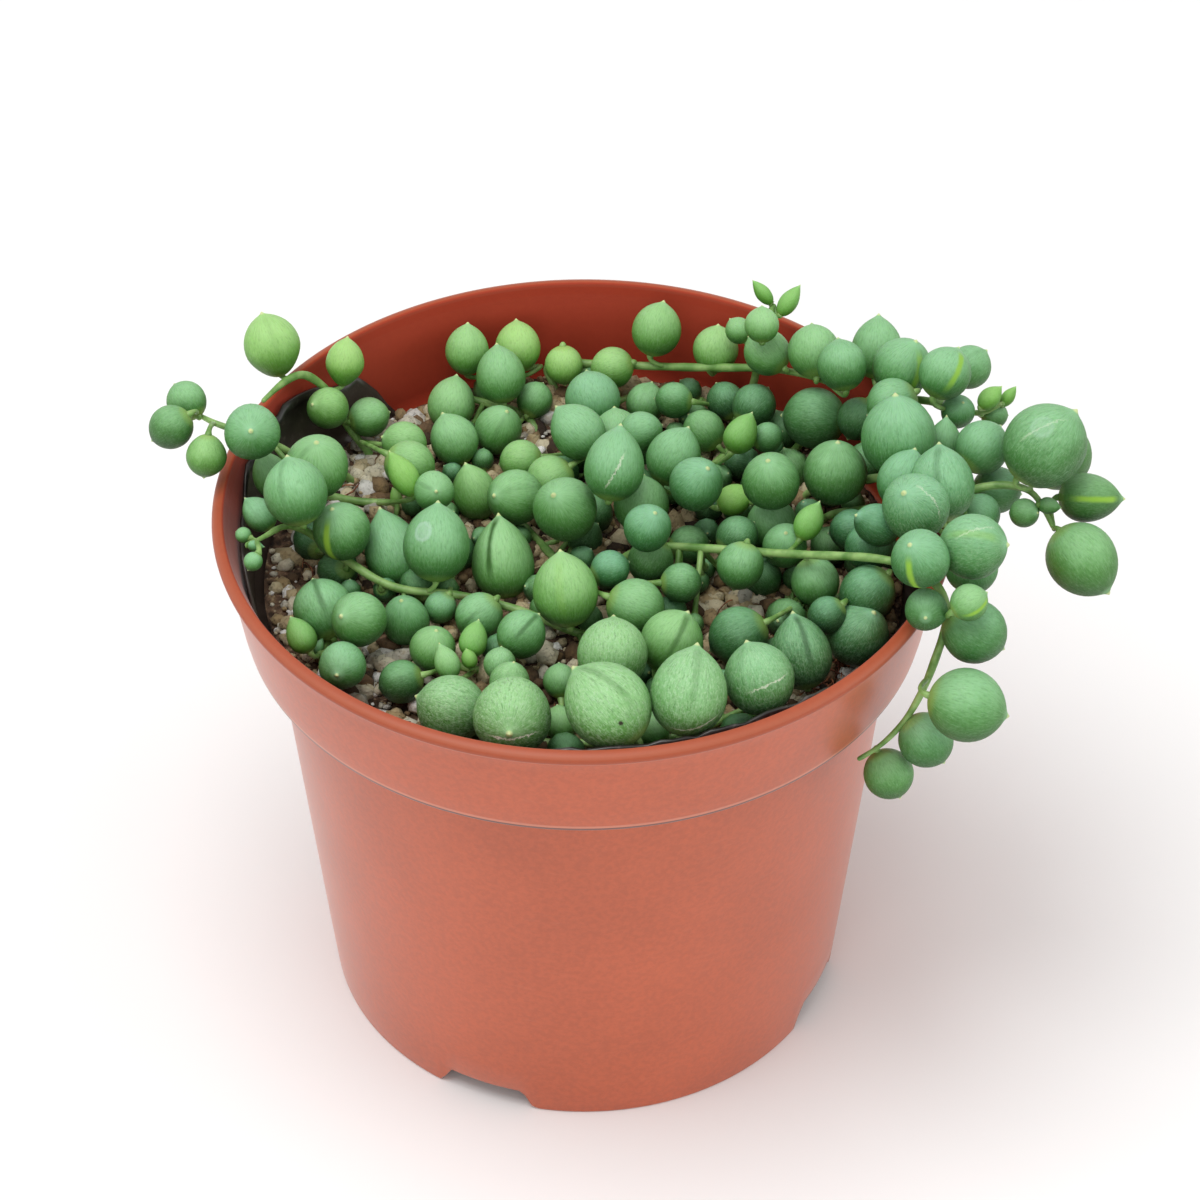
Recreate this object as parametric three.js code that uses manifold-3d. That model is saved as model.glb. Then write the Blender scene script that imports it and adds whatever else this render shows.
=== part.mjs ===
// A string-of-pearls plant in a round plastic pot, in millimetres, +Z up.
// The pot stands on its foot at z = 0. A thin black liner lines it, gritty soil fills the liner,
// and each leafy stem is rooted in the soil and carries round leaves on short stalks.

import * as THREE from "three";
import { mergeVertices } from "three/addons/utils/BufferGeometryUtils.js";
import Module from "manifold-3d";

const wasm = await Module();
wasm.setup();

// Pot: a 9 cm pot with a rolled lip, a wider collar, a tapered body and a notched foot
const rimRadius = 45;
const potHeight = 73.6;
const lipHeight = 1.7;
const lipInnerRadius = 42.9;
const collarTopRadius = 44;
const collarLowRadius = 41.9;
const collarLowHeight = 58.7;
const bodyTopRadius = 38.5;
const footRadius = 32.6;
const wall = 1.3;
const baseHeight = 3.1;
const baseThickness = 1.5;
const softEdge = 0.5;
const notchHeight = 3.06;
const notchHalfAngle = 10.8 * Math.PI / 180;
const notchSlant = 1.1;
const firstNotchAngle = -112.5 * Math.PI / 180;
const notchCount = 4;
const drainRadius = 3;
const drainCircle = 20;
const drainCount = 6;
const drainSides = 8;
const sides = 30;

// Liner and soil
const gap = 0.3;
const linerWall = 0.7;
const linerBelowRim = 0.8;
const linerTops = [
  62, 59, 56, 55, 54, 54, 54, 54, 56, 69, 72.5, 72.3,
  69, 66, 65, 65, 66, 70, 72.2, 72.4, 72.4, 71, 69, 66,
];
const soilRadius = 39.2;
const soilEdgeHeight = 62;
const soilRise = 0.8;
const soilWave = 0.4;
const roughness = 0.5;
const ringStep = 5.5;
const pebbleCount = 4;
const pebbleSize = 1.5;
const pebbleStretch = 1.2;
const pebbleFlatness = 0.7;

// Plant
const stemWidth = 1.15;
const stalkWidth = 0.8;
const pearlSides = [[4.5, 5], [8, 6], [12, 7]];
const plumpness = 1.08;
const leanBack = 0.25;
const clearance = 0.36;
const facing = 1.05;
const hardness = 4;
const softness = 0.5;
const stemPress = 0.9;
const farthestMove = 13;
const moveStep = 0.25;
const rootDepth = 5.5;
const farthestRoot = 34;
const stemStep = 2.8;
const rootKnots = 3;
const settleRounds = 40;
const settlePull = 0.4;
const follow = 0.49;
const stemInPearl = 0.7;
const stalkInPearl = 0.6;
const stemFlats = 4;
const stalkFlats = 3;

// Where the picture was taken from, so that a place in it can be given as pixels and a height
const eye = new THREE.Vector3(0, -416.2, 425.3);
const aim = new THREE.Vector3(2, 0, 57.7);
const focalPixels = 4500;
const middlePixel = 600;
const sight = aim.clone().sub(eye).normalize();
const sightRight = sight.clone().cross(new THREE.Vector3(0, 0, 1)).normalize();
const sightUp = sightRight.clone().cross(sight);

// Each leafy stem starts at its root. A stem's knots are [x, y, height], and a pearl is
// [x, y, width, height, tip x, tip y, length]: x, y, width and length are pixels in the picture,
// a height of 0 lets it lie on the soil, and the tip and length are left out where they don't show.
const strands = [
  {
    name: "strand_back",
    stem: [
      [560, 385, 63], [545, 372, 65.5], [540, 361, 66], [620, 365, 67],
      [700, 368, 69], [780, 368, 72], [830, 385, 74.5],
    ],
    pearls: [
      [467, 348, 46, 68.5, 468, 322, 54], [518, 345, 48, 69, 516, 318, 54], [564, 366, 40, 67],
      [611, 368, 44, 67], [657, 328, 52, 72.5, 664, 300, 58], [716, 348, 48, 70, 718, 325],
      [766, 352, 48, 72.5], [814, 350, 55, 75.5], [842, 364, 52, 77, 838, 338],
    ],
  },
  {
    name: "strand_shoot",
    stem: [[757, 403, 62.5], [755, 388, 66], [758, 350, 73], [765, 322, 77], [773, 305, 79.5]],
    pearls: [
      [738, 330, 28, 75, 727, 315], [762, 324, 36, 76.5, 762, 304],
      [762, 292, 16, 81, 752, 280, 32], [790, 300, 20, 80.5, 801, 284, 38],
    ],
  },
  {
    name: "strand_back_left",
    stem: [[540, 440, 61.8], [525, 415, 62.4], [490, 408, 63.5], [462, 398, 64.5]],
    pearls: [
      [500, 373, 52, 70, 496, 339, 62], [452, 402, 50, 66, 457, 373, 58],
      [453, 438, 50, 0, 442, 412, 57], [499, 428, 50, 0, 508, 411, 59], [535, 399, 38, 0],
    ],
  },
  {
    name: "strand_middle_back",
    stem: [[600, 475, 62], [598, 440, 62.3], [606, 405, 63], [650, 395, 63.5]],
    pearls: [
      [592, 398, 58, 66], [576, 430, 55, 67, 554, 404, 64], [617, 433, 52, 66, 614, 405],
      [646, 402, 42, 65, 652, 382], [642, 432, 44, 67], [615, 462, 62, 70, 621, 422, 78],
      [549, 480, 50, 0], [520, 461, 44, 0],
    ],
  },
  {
    name: "strand_middle_right",
    stem: [[700, 520, 61.8], [702, 475, 63], [735, 452, 63.8], [742, 418, 63.6], [705, 402, 63]],
    pearls: [
      [673, 400, 38, 0], [703, 430, 44, 65], [742, 432, 34, 68, 755, 407, 46],
      [768, 437, 32, 66], [675, 455, 56, 67, 690, 424, 64], [697, 483, 56, 70, 708, 468, 60],
      [736, 499, 33, 68, 754, 490, 40], [771, 480, 60, 70, 767, 461], [725, 400, 40, 0],
      [755, 405, 46, 0],
    ],
  },
  {
    name: "strand_right_back",
    stem: [
      [800, 450, 62], [818, 432, 66], [858, 405, 71.5], [900, 398, 75],
      [945, 402, 75.5], [975, 418, 76], [990, 411, 76.6], [1003, 403, 77.4],
    ],
    pearls: [
      [877, 346, 54, 74, 879, 312, 66], [903, 366, 61, 73, 915, 342],
      [946, 372, 54, 75, 959, 347], [970, 366, 46, 75, 987, 350], [891, 404, 52, 70], [858, 420, 44, 0],
      [899, 434, 78, 72, 894, 394, 88], [958, 411, 36, 76, 962, 403],
      [991, 397, 22, 77.5, 1003, 385, 32], [1009, 396, 14, 77.5, 1016, 386, 26],
      [995, 415, 28, 75], [813, 418, 64, 66], [835, 471, 66, 66, 837, 443],
    ],
  },
  {
    name: "strand_right",
    stem: [
      [800, 500, 62], [825, 488, 66], [860, 478, 71.5], [915, 468, 76], [953, 480, 77.2],
      [966, 512, 76.8], [962, 545, 76],
    ],
    pearls: [
      [944, 441, 38, 74, 946, 415, 56], [983, 446, 56, 74], [905, 478, 56, 71, 915, 448, 64],
      [941, 482, 69, 72, 939, 442, 80], [915, 506, 70, 73, 901, 493, 74],
      [875, 524, 44, 70, 854, 515, 54], [850, 530, 44, 66], [868, 548, 50, 66], [868, 462, 44, 0],
      [998, 490, 50, 72], [981, 514, 42, 71], [975, 546, 68, 74, 1008, 545, 72],
      [972, 568, 56, 71],
    ],
  },
  {
    name: "strand_far_right",
    stem: [
      [815, 525, 62], [860, 508, 69.5], [925, 503, 75], [960, 492, 75.6], [985, 484, 75.8],
      [1020, 484, 76.3], [1033, 490, 76], [1041, 501, 75.2], [1046, 515, 73.6], [1053, 529, 72.3],
    ],
    pearls: [
      [1047, 444, 86, 76, 1076, 410, 92], [1060, 455, 70, 74], [1092, 498, 52, 74, 1127, 499, 68],
      [1084, 562, 74, 70, 1113, 599, 84], [1025, 513, 31, 74, 1037, 513],
      [1050, 506, 18, 74.5, 1062, 508, 24],
    ],
  },
  {
    name: "strand_hanging",
    stem: [
      [615, 585, 62], [615, 560, 66], [650, 545, 68.5], [720, 549, 70], [800, 555, 72.5],
      [885, 557, 76], [925, 572, 76.4], [941, 588, 76], [949, 604, 75], [949, 620, 73.4],
      [935, 660, 68.5], [926, 685, 65.3], [905, 724, 60.5], [870, 755, 56.5], [857, 760, 56],
    ],
    pearls: [
      [648, 527, 50, 70, 655, 513], [641, 503, 58, 66], [740, 567, 49, 0],
      [785, 545, 47, 67, 785, 533], [772, 523, 54, 0, 762, 496], [810, 520, 30, 71, 822, 497, 44],
      [816, 583, 51, 0], [738, 536, 44, 0], [690, 545, 42, 0], [650, 562, 48, 0],
      [920, 558, 61, 75, 908, 545], [926, 610, 45, 74, 924, 618], [970, 602, 39, 74.5, 988, 592],
      [976, 632, 68, 71], [969, 706, 78, 65, 1011, 717, 84], [927, 741, 58, 58], [889, 775, 53, 53],
    ],
  },
  {
    name: "strand_right_front",
    stem: [[790, 602, 61.8], [815, 608, 62.2], [842, 602, 62.8], [868, 592, 64]],
    pearls: [
      [866, 594, 58, 0], [858, 633, 66, 0, 873, 612], [800, 650, 64, 0, 792, 608, 80], [737, 637, 62, 0],
      [826, 616, 40, 0],
    ],
  },
  {
    name: "strand_front",
    stem: [
      [470, 735, 62], [510, 744, 62.8], [560, 745, 63], [640, 744, 63], [690, 735, 63.5],
      [740, 712, 64], [765, 698, 64.5],
    ],
    pearls: [
      [450, 708, 72, 0, 412, 695], [512, 717, 82, 66, 510, 733], [560, 722, 36, 0],
      [605, 703, 87, 66, 571, 665, 98], [650, 728, 40, 0], [689, 689, 80, 66, 698, 640, 94],
      [758, 677, 73, 66, 746, 640, 78], [613, 652, 73, 0], [672, 640, 66, 0, 688, 612],
      [560, 680, 36, 0],
    ],
  },
  {
    name: "strand_left",
    stem: [
      [600, 642, 62.3], [582, 636, 63.5], [545, 620, 65], [515, 608, 66], [450, 592, 66],
      [400, 592, 66], [370, 577, 67], [350, 562, 67.5], [325, 545, 68.5], [305, 528, 70.5],
      [285, 523, 72.5], [268, 535, 74], [256, 541, 75],
    ],
    pearls: [
      [258, 513, 34, 73, 243, 496, 42], [243, 535, 17, 74.5], [256, 546, 12, 74.5, 265, 547, 18],
      [253, 562, 20, 75.5, 247, 572], [341, 530, 61, 70, 333, 509], [392, 546, 62, 0, 378, 503, 84],
      [437, 541, 70, 68, 438, 500, 82], [405, 618, 50, 0, 402, 599, 62], [440, 608, 34, 0],
      [478, 617, 50, 0], [522, 633, 51, 0, 540, 613],
    ],
  },
  {
    name: "strand_left_back",
    stem: [
      [365, 455, 62], [348, 432, 65], [335, 398, 70], [318, 381, 74], [303, 371, 76.5],
      [290, 377, 77], [276, 388, 77.5], [262, 402, 77.5],
    ],
    pearls: [
      [271, 343, 60, 79, 262, 312, 68], [345, 360, 41, 74, 348, 336, 50], [327, 408, 44, 71, 313, 405],
      [370, 417, 42, 67], [403, 443, 46, 0, 382, 437], [411, 466, 52, 0],
    ],
  },
  {
    name: "strand_left_edge",
    stem: [
      [355, 480, 62], [320, 470, 66], [285, 450, 72], [255, 436, 75.8], [228, 428, 77],
      [210, 422, 77.5], [197, 414, 77.5],
    ],
    pearls: [
      [186, 400, 42, 78.5], [170, 428, 46, 76], [206, 457, 43, 75], [252, 432, 59, 78.5, 253, 432],
      [317, 465, 66, 70, 318, 443],
    ],
  },
  {
    name: "strand_left_inner",
    stem: [[425, 515, 61.8], [397, 509, 62.4], [350, 505, 62.8], [315, 495, 64.5], [285, 485, 66]],
    pearls: [
      [295, 490, 66, 71, 287, 455, 72], [271, 474, 40, 68.5, 259, 449, 56],
      [402, 473, 30, 66, 388, 449, 52], [396, 497, 13, 63, 392, 486, 22],
      [434, 491, 42, 0, 437, 492],
    ],
  },
  {
    name: "strand_left_front",
    stem: [[350, 615, 61.8], [332, 640, 62.4], [318, 658, 63.5]],
    pearls: [
      [323, 608, 64, 0], [358, 619, 58, 66, 342, 616], [300, 634, 31, 66, 289, 614, 42],
      [319, 647, 12, 64, 323, 637, 22], [342, 666, 50, 65, 338, 675],
    ],
  },
  {
    name: "strand_front_left",
    stem: [[430, 668, 61.5], [455, 674, 62.5], [475, 674, 63.5], [500, 682, 63]],
    pearls: [
      [433, 648, 49, 0, 437, 630], [446, 661, 27, 66, 438, 640, 40], [474, 638, 30, 68, 479, 618, 40],
      [469, 658, 17, 67, 466, 648, 22], [500, 663, 34, 0], [510, 681, 42, 65, 514, 662],
      [400, 682, 46, 61.5],
    ],
  },
  {
    name: "strand_centre",
    stem: [[585, 612, 62], [566, 580, 62.3], [530, 540, 62.4], [500, 510, 62.4], [480, 495, 62.4]],
    pearls: [
      [502, 556, 66, 0, 498, 509, 88], [565, 588, 68, 0, 560, 549, 79], [637, 608, 60, 0],
      [611, 569, 40, 0], [682, 583, 42, 0], [474, 490, 48, 0, 465, 462, 62],
      [514, 497, 58, 0, 493, 496, 62], [564, 508, 67, 68, 553, 495, 76],
    ],
  },
];

// Seeded random numbers, the same on every run
function randomFrom(seed) {
  let state = seed;
  return () => {
    state = (state * 48271) % 2147483647;
    return state / 2147483647;
  };
}

// The point at a given height that shows at a pixel of the picture
function atHeight(x, y, height) {
  const ray = sight.clone().multiplyScalar(focalPixels);
  ray.addScaledVector(sightRight, x - middlePixel);
  ray.addScaledVector(sightUp, middlePixel - y);
  return eye.clone().addScaledVector(ray, (height - eye.z) / ray.z);
}

// Height of the soil's top, a low dome with a few soft waves
function soilHeight(x, y) {
  const outward = Math.hypot(x, y) / soilRadius;
  const dome = soilRise * Math.max(0, 1 - outward * outward);
  const wave = soilWave * Math.sin(x / 5.5 + 1) * Math.cos(y / 6.5);
  return soilEdgeHeight + dome + wave * Math.max(0, 1 - outward ** 6);
}

// Height of what lies under a point: the soil inside the pot, and the table outside it
function groundHeight(point) {
  return Math.hypot(point.x, point.y) < soilRadius ? soilHeight(point.x, point.y) : 0;
}

// Solids: a closed mesh with its faces pointing out becomes a body that can be joined and cut

function solidOf(geometry) {
  const bare = geometry.index ? geometry.clone() : mergeVertices(geometry, 1e-9);
  bare.deleteAttribute("uv");
  bare.deleteAttribute("normal");
  const merged = mergeVertices(bare, 1e-4);
  const corners = merged.index.array;
  const kept = [];
  for (let i = 0; i < corners.length; i += 3) {
    const [a, b, c] = [corners[i], corners[i + 1], corners[i + 2]];
    if (a !== b && b !== c && c !== a) kept.push(a, b, c);
  }
  return new wasm.Manifold(new wasm.Mesh({
    numProp: 3,
    vertProperties: new Float32Array(merged.attributes.position.array),
    triVerts: new Uint32Array(kept),
  }));
}

function meshOf(solid, name, material) {
  const surface = solid.getMesh();
  const geometry = new THREE.BufferGeometry();
  geometry.setAttribute("position", new THREE.BufferAttribute(surface.vertProperties, 3));
  geometry.setIndex(new THREE.BufferAttribute(surface.triVerts, 1));
  geometry.computeVertexNormals();
  const mesh = new THREE.Mesh(geometry, material);
  mesh.name = name;
  return mesh;
}

function joined(solids) {
  return solids.reduce((whole, solid) => whole.add(solid));
}

function largestBody(solid) {
  const bodies = solid.decompose();
  return bodies.reduce((best, body) => (body.volume() > best.volume() ? body : best));
}

// Turns a profile of [radius, height] points about the pot's axis
function turned(profile) {
  const points = profile.map(([radius, height]) => new THREE.Vector2(radius, height));
  return new THREE.LatheGeometry(points, sides).rotateX(Math.PI / 2);
}

// A straight-sided tube of a given width along a curve
function tube(points, width, flats, steps) {
  const section = new THREE.Shape();
  for (let i = 0; i < flats; i += 1) {
    const angle = (i / flats) * 2 * Math.PI;
    const [u, v] = [Math.cos(angle) * width / 2, Math.sin(angle) * width / 2];
    if (i === 0) section.moveTo(u, v);
    else section.lineTo(u, v);
  }
  section.closePath();
  const extrudePath = new THREE.CatmullRomCurve3(points);
  return solidOf(new THREE.ExtrudeGeometry(section, { steps, extrudePath, curveSegments: 1 }));
}

// Pot

function bodyRadius(height) {
  return footRadius + (bodyTopRadius - footRadius) * height / collarLowHeight;
}

function collarRadius(height) {
  const up = (height - collarLowHeight) / (potHeight - lipHeight - collarLowHeight);
  return collarLowRadius + (collarTopRadius - collarLowRadius) * up;
}

function potInnerRadius(height) {
  const ledge = collarLowHeight + wall;
  return (height < ledge ? bodyRadius(height) : collarRadius(height)) - wall;
}

function notchCutter(angle) {
  const reach = rimRadius;
  const halfWidth = Math.sin(notchHalfAngle) * footRadius;
  const section = new THREE.Shape();
  section.moveTo(-halfWidth - notchSlant, -softEdge);
  section.lineTo(halfWidth + notchSlant, -softEdge);
  section.lineTo(halfWidth, notchHeight);
  section.lineTo(-halfWidth, notchHeight);
  section.closePath();
  const cutter = new THREE.ExtrudeGeometry(section, { depth: reach, bevelEnabled: false });
  cutter.rotateX(Math.PI / 2);
  cutter.rotateZ(angle + Math.PI / 2);
  return solidOf(cutter);
}

function potSolid() {
  const lipLow = potHeight - lipHeight;
  const ledge = collarLowHeight + wall;
  const baseTop = baseHeight + baseThickness;
  const profile = [
    [0, baseHeight],
    [footRadius - wall, baseHeight],
    [footRadius - wall, 0],
    [footRadius, 0],
    [bodyTopRadius, collarLowHeight],
    [collarLowRadius - softEdge, collarLowHeight],
    [collarLowRadius, collarLowHeight + softEdge],
    [collarTopRadius, lipLow],
    [rimRadius, lipLow],
    [rimRadius, potHeight - softEdge],
    [rimRadius - softEdge, potHeight],
    [lipInnerRadius + softEdge, potHeight],
    [lipInnerRadius, potHeight - softEdge],
    [potInnerRadius(lipLow - 2 * softEdge), lipLow - 2 * softEdge],
    [potInnerRadius(ledge), ledge],
    [bodyRadius(ledge) - wall, ledge],
    [bodyRadius(baseTop) - wall, baseTop],
    [0, baseTop],
  ];
  let pot = solidOf(turned(profile));
  for (let i = 0; i < notchCount; i += 1) {
    const angle = firstNotchAngle + (i * 2 * Math.PI) / notchCount;
    pot = pot.subtract(notchCutter(angle));
  }
  for (let i = 0; i < drainCount; i += 1) {
    const angle = (i * 2 * Math.PI) / drainCount;
    const depth = baseThickness * 4;
    const hole = new THREE.CylinderGeometry(drainRadius, drainRadius, depth, drainSides);
    hole.rotateX(Math.PI / 2);
    hole.translate(Math.cos(angle) * drainCircle, Math.sin(angle) * drainCircle, baseTop);
    pot = pot.subtract(solidOf(hole));
  }
  return pot;
}

// Liner: a thin cup just inside the pot, whose torn top edge is high at the front and left

// Height of the torn edge, which eases from one value of linerTops to the next
function linerTop(angle) {
  const place = (angle / (2 * Math.PI) + 1) % 1 * linerTops.length;
  const low = Math.floor(place);
  const share = (1 - Math.cos((place - low) * Math.PI)) / 2;
  const next = linerTops[(low + 1) % linerTops.length];
  return linerTops[low % linerTops.length] * (1 - share) + next * share;
}

// Everything above the torn edge
function aboveLiner() {
  const [inner, outer, top] = [footRadius, rimRadius * 1.3, potHeight * 1.3];
  const profile = [[0, potHeight], [inner, 0], [outer, 0], [outer, top], [0, top]];
  const lid = turned(profile);
  const places = lid.attributes.position;
  for (let i = 0; i < places.count; i += 1) {
    if (places.getZ(i) < 1) places.setZ(i, linerTop(Math.atan2(places.getY(i), places.getX(i))));
  }
  return solidOf(lid);
}

function linerSolid() {
  const inset = gap + linerWall;
  const low = baseHeight + baseThickness;
  const ledge = collarLowHeight + wall;
  const top = potHeight - linerBelowRim;
  const bodyAt = (height, inward) => bodyRadius(height) - wall - inward;
  const profile = [
    [0, low + gap],
    [bodyAt(low, gap), low + gap],
    [bodyAt(ledge, gap), ledge + gap],
    [potInnerRadius(ledge) - gap, ledge + gap],
    [potInnerRadius(top) - gap, top],
    [potInnerRadius(top) - inset, top],
    [potInnerRadius(ledge) - inset, ledge + inset],
    [bodyAt(ledge, inset), ledge + inset],
    [bodyAt(low, inset), low + inset],
    [0, low + inset],
  ];
  return solidOf(turned(profile)).subtract(aboveLiner());
}

// Soil: fills the liner, with a gritty top

// A white pebble part sunk in the soil, at a place that pearls and stems leave free
function pebble(random, plant) {
  const size = pebbleSize + random();
  const centre = new THREE.Vector3();
  const isClear = (place, room) => place.distanceTo(centre) > size * pebbleStretch + room;
  let free = false;
  while (!free) {
    const around = random() * 2 * Math.PI;
    const outward = Math.sqrt(random()) * (soilRadius - 2 * pebbleSize);
    centre.set(Math.cos(around) * outward, Math.sin(around) * outward, 0);
    centre.z = soilHeight(centre.x, centre.y);
    free = plant.pearls.every((pearl) => isClear(pearl.centre, pearl.radius + clearance));
    free &&= plant.lines.flat().every((knot) => isClear(knot, stemWidth + clearance));
  }
  const stone = new THREE.IcosahedronGeometry(size, 0);
  stone.scale(pebbleStretch, 1, pebbleFlatness);
  stone.rotateZ(random() * Math.PI);
  stone.translate(centre.x, centre.y, centre.z);
  return solidOf(stone);
}

// The soil without pebbles, its top raised by the height formula and roughened
function soilBody() {
  const lined = 2 * gap + linerWall;
  const low = baseHeight + baseThickness + lined;
  const ledge = collarLowHeight + wall + lined;
  const inset = wall + lined;
  const rings = [0];
  for (let radius = soilRadius - gap; radius > gap; radius -= ringStep) rings.splice(-1, 0, radius);
  const profile = [
    [0, low],
    [bodyRadius(low) - inset, low],
    [bodyRadius(ledge) - inset, ledge],
    [soilRadius, ledge],
    ...rings.map((radius) => [radius, potHeight]),
  ];
  const body = turned(profile);
  const places = body.attributes.position;
  for (let i = 0; i < places.count; i += 1) {
    if (places.getZ(i) < potHeight - 1) continue;
    const [x, y] = [places.getX(i), places.getY(i)];
    const rough = Math.sin(x * 3.1 + 1.3 * y) * Math.cos(y * 2.7 - 0.9 * x);
    const inside = 1 - (Math.hypot(x, y) / soilRadius) ** 6;
    places.setZ(i, soilHeight(x, y) + roughness * inside * (rough - 0.5));
  }
  return solidOf(body);
}

function soilSolid(plant) {
  const random = randomFrom(7);
  let soil = soilBody();
  for (let i = 0; i < pebbleCount; i += 1) soil = soil.add(pebble(random, plant));
  return largestBody(soil.subtract(plant.room));
}

// Places of the stems and pearls

// Rounds a line of knots by cutting its corners twice
function rounded(knots) {
  let line = knots;
  for (let round = 0; round < 2; round += 1) {
    const next = [line[0]];
    for (let i = 0; i + 1 < line.length; i += 1) {
      next.push(line[i].clone().lerp(line[i + 1], 0.25), line[i].clone().lerp(line[i + 1], 0.75));
    }
    next.push(line[line.length - 1]);
    line = next;
  }
  return line;
}

// Points at even steps along a line
function evenly(line, step) {
  const reach = [0];
  for (let i = 1; i < line.length; i += 1) reach.push(reach[i - 1] + line[i].distanceTo(line[i - 1]));
  const count = Math.max(2, Math.round(reach[reach.length - 1] / step));
  const points = [];
  let at = 0;
  for (let i = 0; i <= count; i += 1) {
    const want = (reach[reach.length - 1] * i) / count;
    while (at + 2 < line.length && reach[at + 1] < want) at += 1;
    const share = (want - reach[at]) / (reach[at + 1] - reach[at]);
    points.push(line[at].clone().lerp(line[at + 1], share));
  }
  return points;
}

// A stem's line from its root straight up through the soil and on through its knots
function stemPoints(strand) {
  const knots = strand.stem.map(([x, y, height]) => atHeight(x, y, height));
  const ground = soilHeight(knots[0].x, knots[0].y);
  const outward = Math.hypot(knots[0].x, knots[0].y);
  const inward = Math.min(1, farthestRoot / outward);
  knots[0].set(knots[0].x * inward, knots[0].y * inward, Math.max(knots[0].z, ground + 1));
  const root = new THREE.Vector3(knots[0].x, knots[0].y, ground - rootDepth);
  return evenly(rounded([root, ...knots]), stemStep);
}

// The nearest point of the pot's wall and rim, or of the liner inside it
function nearestWall(point) {
  const outward = Math.hypot(point.x, point.y);
  const place = new THREE.Vector3(outward, point.z, 0);
  const lipLow = potHeight - lipHeight;
  const lined = gap + linerWall;
  const outline = [
    [potInnerRadius(soilEdgeHeight) - lined, soilEdgeHeight],
    [potInnerRadius(lipLow) - lined, lipLow],
    [lipInnerRadius, potHeight],
    [rimRadius, potHeight],
    [rimRadius, lipLow],
    [collarTopRadius, lipLow],
    [collarLowRadius, collarLowHeight],
    [bodyTopRadius, collarLowHeight],
    [footRadius, 0],
  ].map(([radius, height]) => new THREE.Vector3(radius, height, 0));
  const best = new THREE.Vector3();
  const found = new THREE.Vector3();
  for (let i = 0; i + 1 < outline.length; i += 1) {
    new THREE.Line3(outline[i], outline[i + 1]).closestPointToPoint(place, true, found);
    if (i === 0 || found.distanceTo(place) < best.distanceTo(place)) best.copy(found);
  }
  return new THREE.Vector3(point.x * best.x / outward, point.y * best.x / outward, best.y);
}

// How much room a pearl lacks at a point. Pearls of its own strand may press into it,
// the wall and the soil may not.
function lackingRoom(point, radius, strandIndex, placed, stems) {
  let lack = hardness * (groundHeight(point) + clearance - (point.z - radius));
  lack = Math.max(lack, hardness * (radius + clearance - nearestWall(point).distanceTo(point)));
  for (const other of placed) {
    const own = other.strand === strandIndex;
    const room = (radius + other.radius) * facing + (own ? 0 : clearance);
    lack = Math.max(lack, (own ? softness : 1) * (room - point.distanceTo(other.centre)));
  }
  stems.forEach((stem, index) => {
    const own = index === strandIndex;
    const room = own ? radius * stemPress : radius + stemWidth / 2 + clearance;
    for (const knot of stem) lack = Math.max(lack, room - knot.distanceTo(point));
  });
  return Math.max(lack, 0);
}

// Each pearl lies as deep as the ones behind it leave room for, on the line on which it is seen
function placedPearls(stems) {
  const waiting = [];
  strands.forEach((strand, strandIndex) => {
    for (const [x, y, width, height, tipX, tipY, length] of strand.pearls) {
      const rough = atHeight(x, y, height || soilEdgeHeight + soilRise + 3);
      const scale = rough.clone().sub(eye).dot(sight) / focalPixels;
      const radius = (width / 2) * scale;
      const start = height ? rough : atHeight(x, y, soilEdgeHeight + soilRise + radius);
      waiting.push({
        strand: strandIndex, x, y, width, tipX, tipY, length, radius, start,
        half: ((length || width * plumpness) / 2) * scale,
        far: start.clone().sub(eye).dot(sight),
      });
    }
  });
  waiting.sort((a, b) => b.far - a.far);
  const placed = [];
  for (const pearl of waiting) {
    const towardsEye = eye.clone().sub(pearl.start).normalize();
    let least = Infinity;
    for (let moved = 0; moved < farthestMove && least > 0; moved += moveStep) {
      const point = pearl.start.clone().addScaledVector(towardsEye, moved);
      const lack = lackingRoom(point, pearl.radius, pearl.strand, placed, stems);
      if (lack < least) {
        least = lack;
        pearl.centre = point;
      }
    }
    placed.push(pearl);
  }
  return placed;
}

// Moves each stem's free stretch clear of pearls, soil, wall and the stems before it
function settledStems(stems, pearls) {
  const settled = [];
  stems.forEach((stem, stemIndex) => {
    const line = stem.map((knot) => knot.clone());
    for (let round = 0; round < settleRounds; round += 1) {
      for (let i = rootKnots; i < line.length; i += 1) {
        const knot = line[i];
        const before = line[i - 1].clone().sub(stem[i - 1]);
        const after = i + 1 < line.length ? line[i + 1].clone().sub(stem[i + 1]) : before;
        knot.lerp(before.add(after).multiplyScalar(follow).add(stem[i]), settlePull);
        for (const pearl of pearls) {
          const own = pearl.strand === stemIndex;
          const outside = pearl.radius + stemWidth / 2 + clearance;
          pushClear(knot, pearl.centre, own ? pearl.radius * stemInPearl : outside);
        }
        for (const other of settled) {
          const place = nearestOnLine(other, knot);
          place.z -= stemWidth / 2;
          pushClear(knot, place, stemWidth * 1.5 + clearance);
        }
        for (const other of stems) {
          if (other === stem) continue;
          for (const place of other.slice(0, rootKnots)) pushClear(knot, place, stemWidth + clearance);
        }
        pushClear(knot, nearestWall(knot), stemWidth / 2 + clearance);
        knot.z = Math.max(knot.z, groundHeight(knot) + stemWidth / 2 + clearance);
      }
    }
    settled.push(line);
  });
  return settled;
}

function nearestOnLine(line, point) {
  const best = line[0].clone();
  const found = new THREE.Vector3();
  for (let i = 0; i + 1 < line.length; i += 1) {
    new THREE.Line3(line[i], line[i + 1]).closestPointToPoint(point, true, found);
    if (found.distanceTo(point) < best.distanceTo(point)) best.copy(found);
  }
  return best;
}

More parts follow.
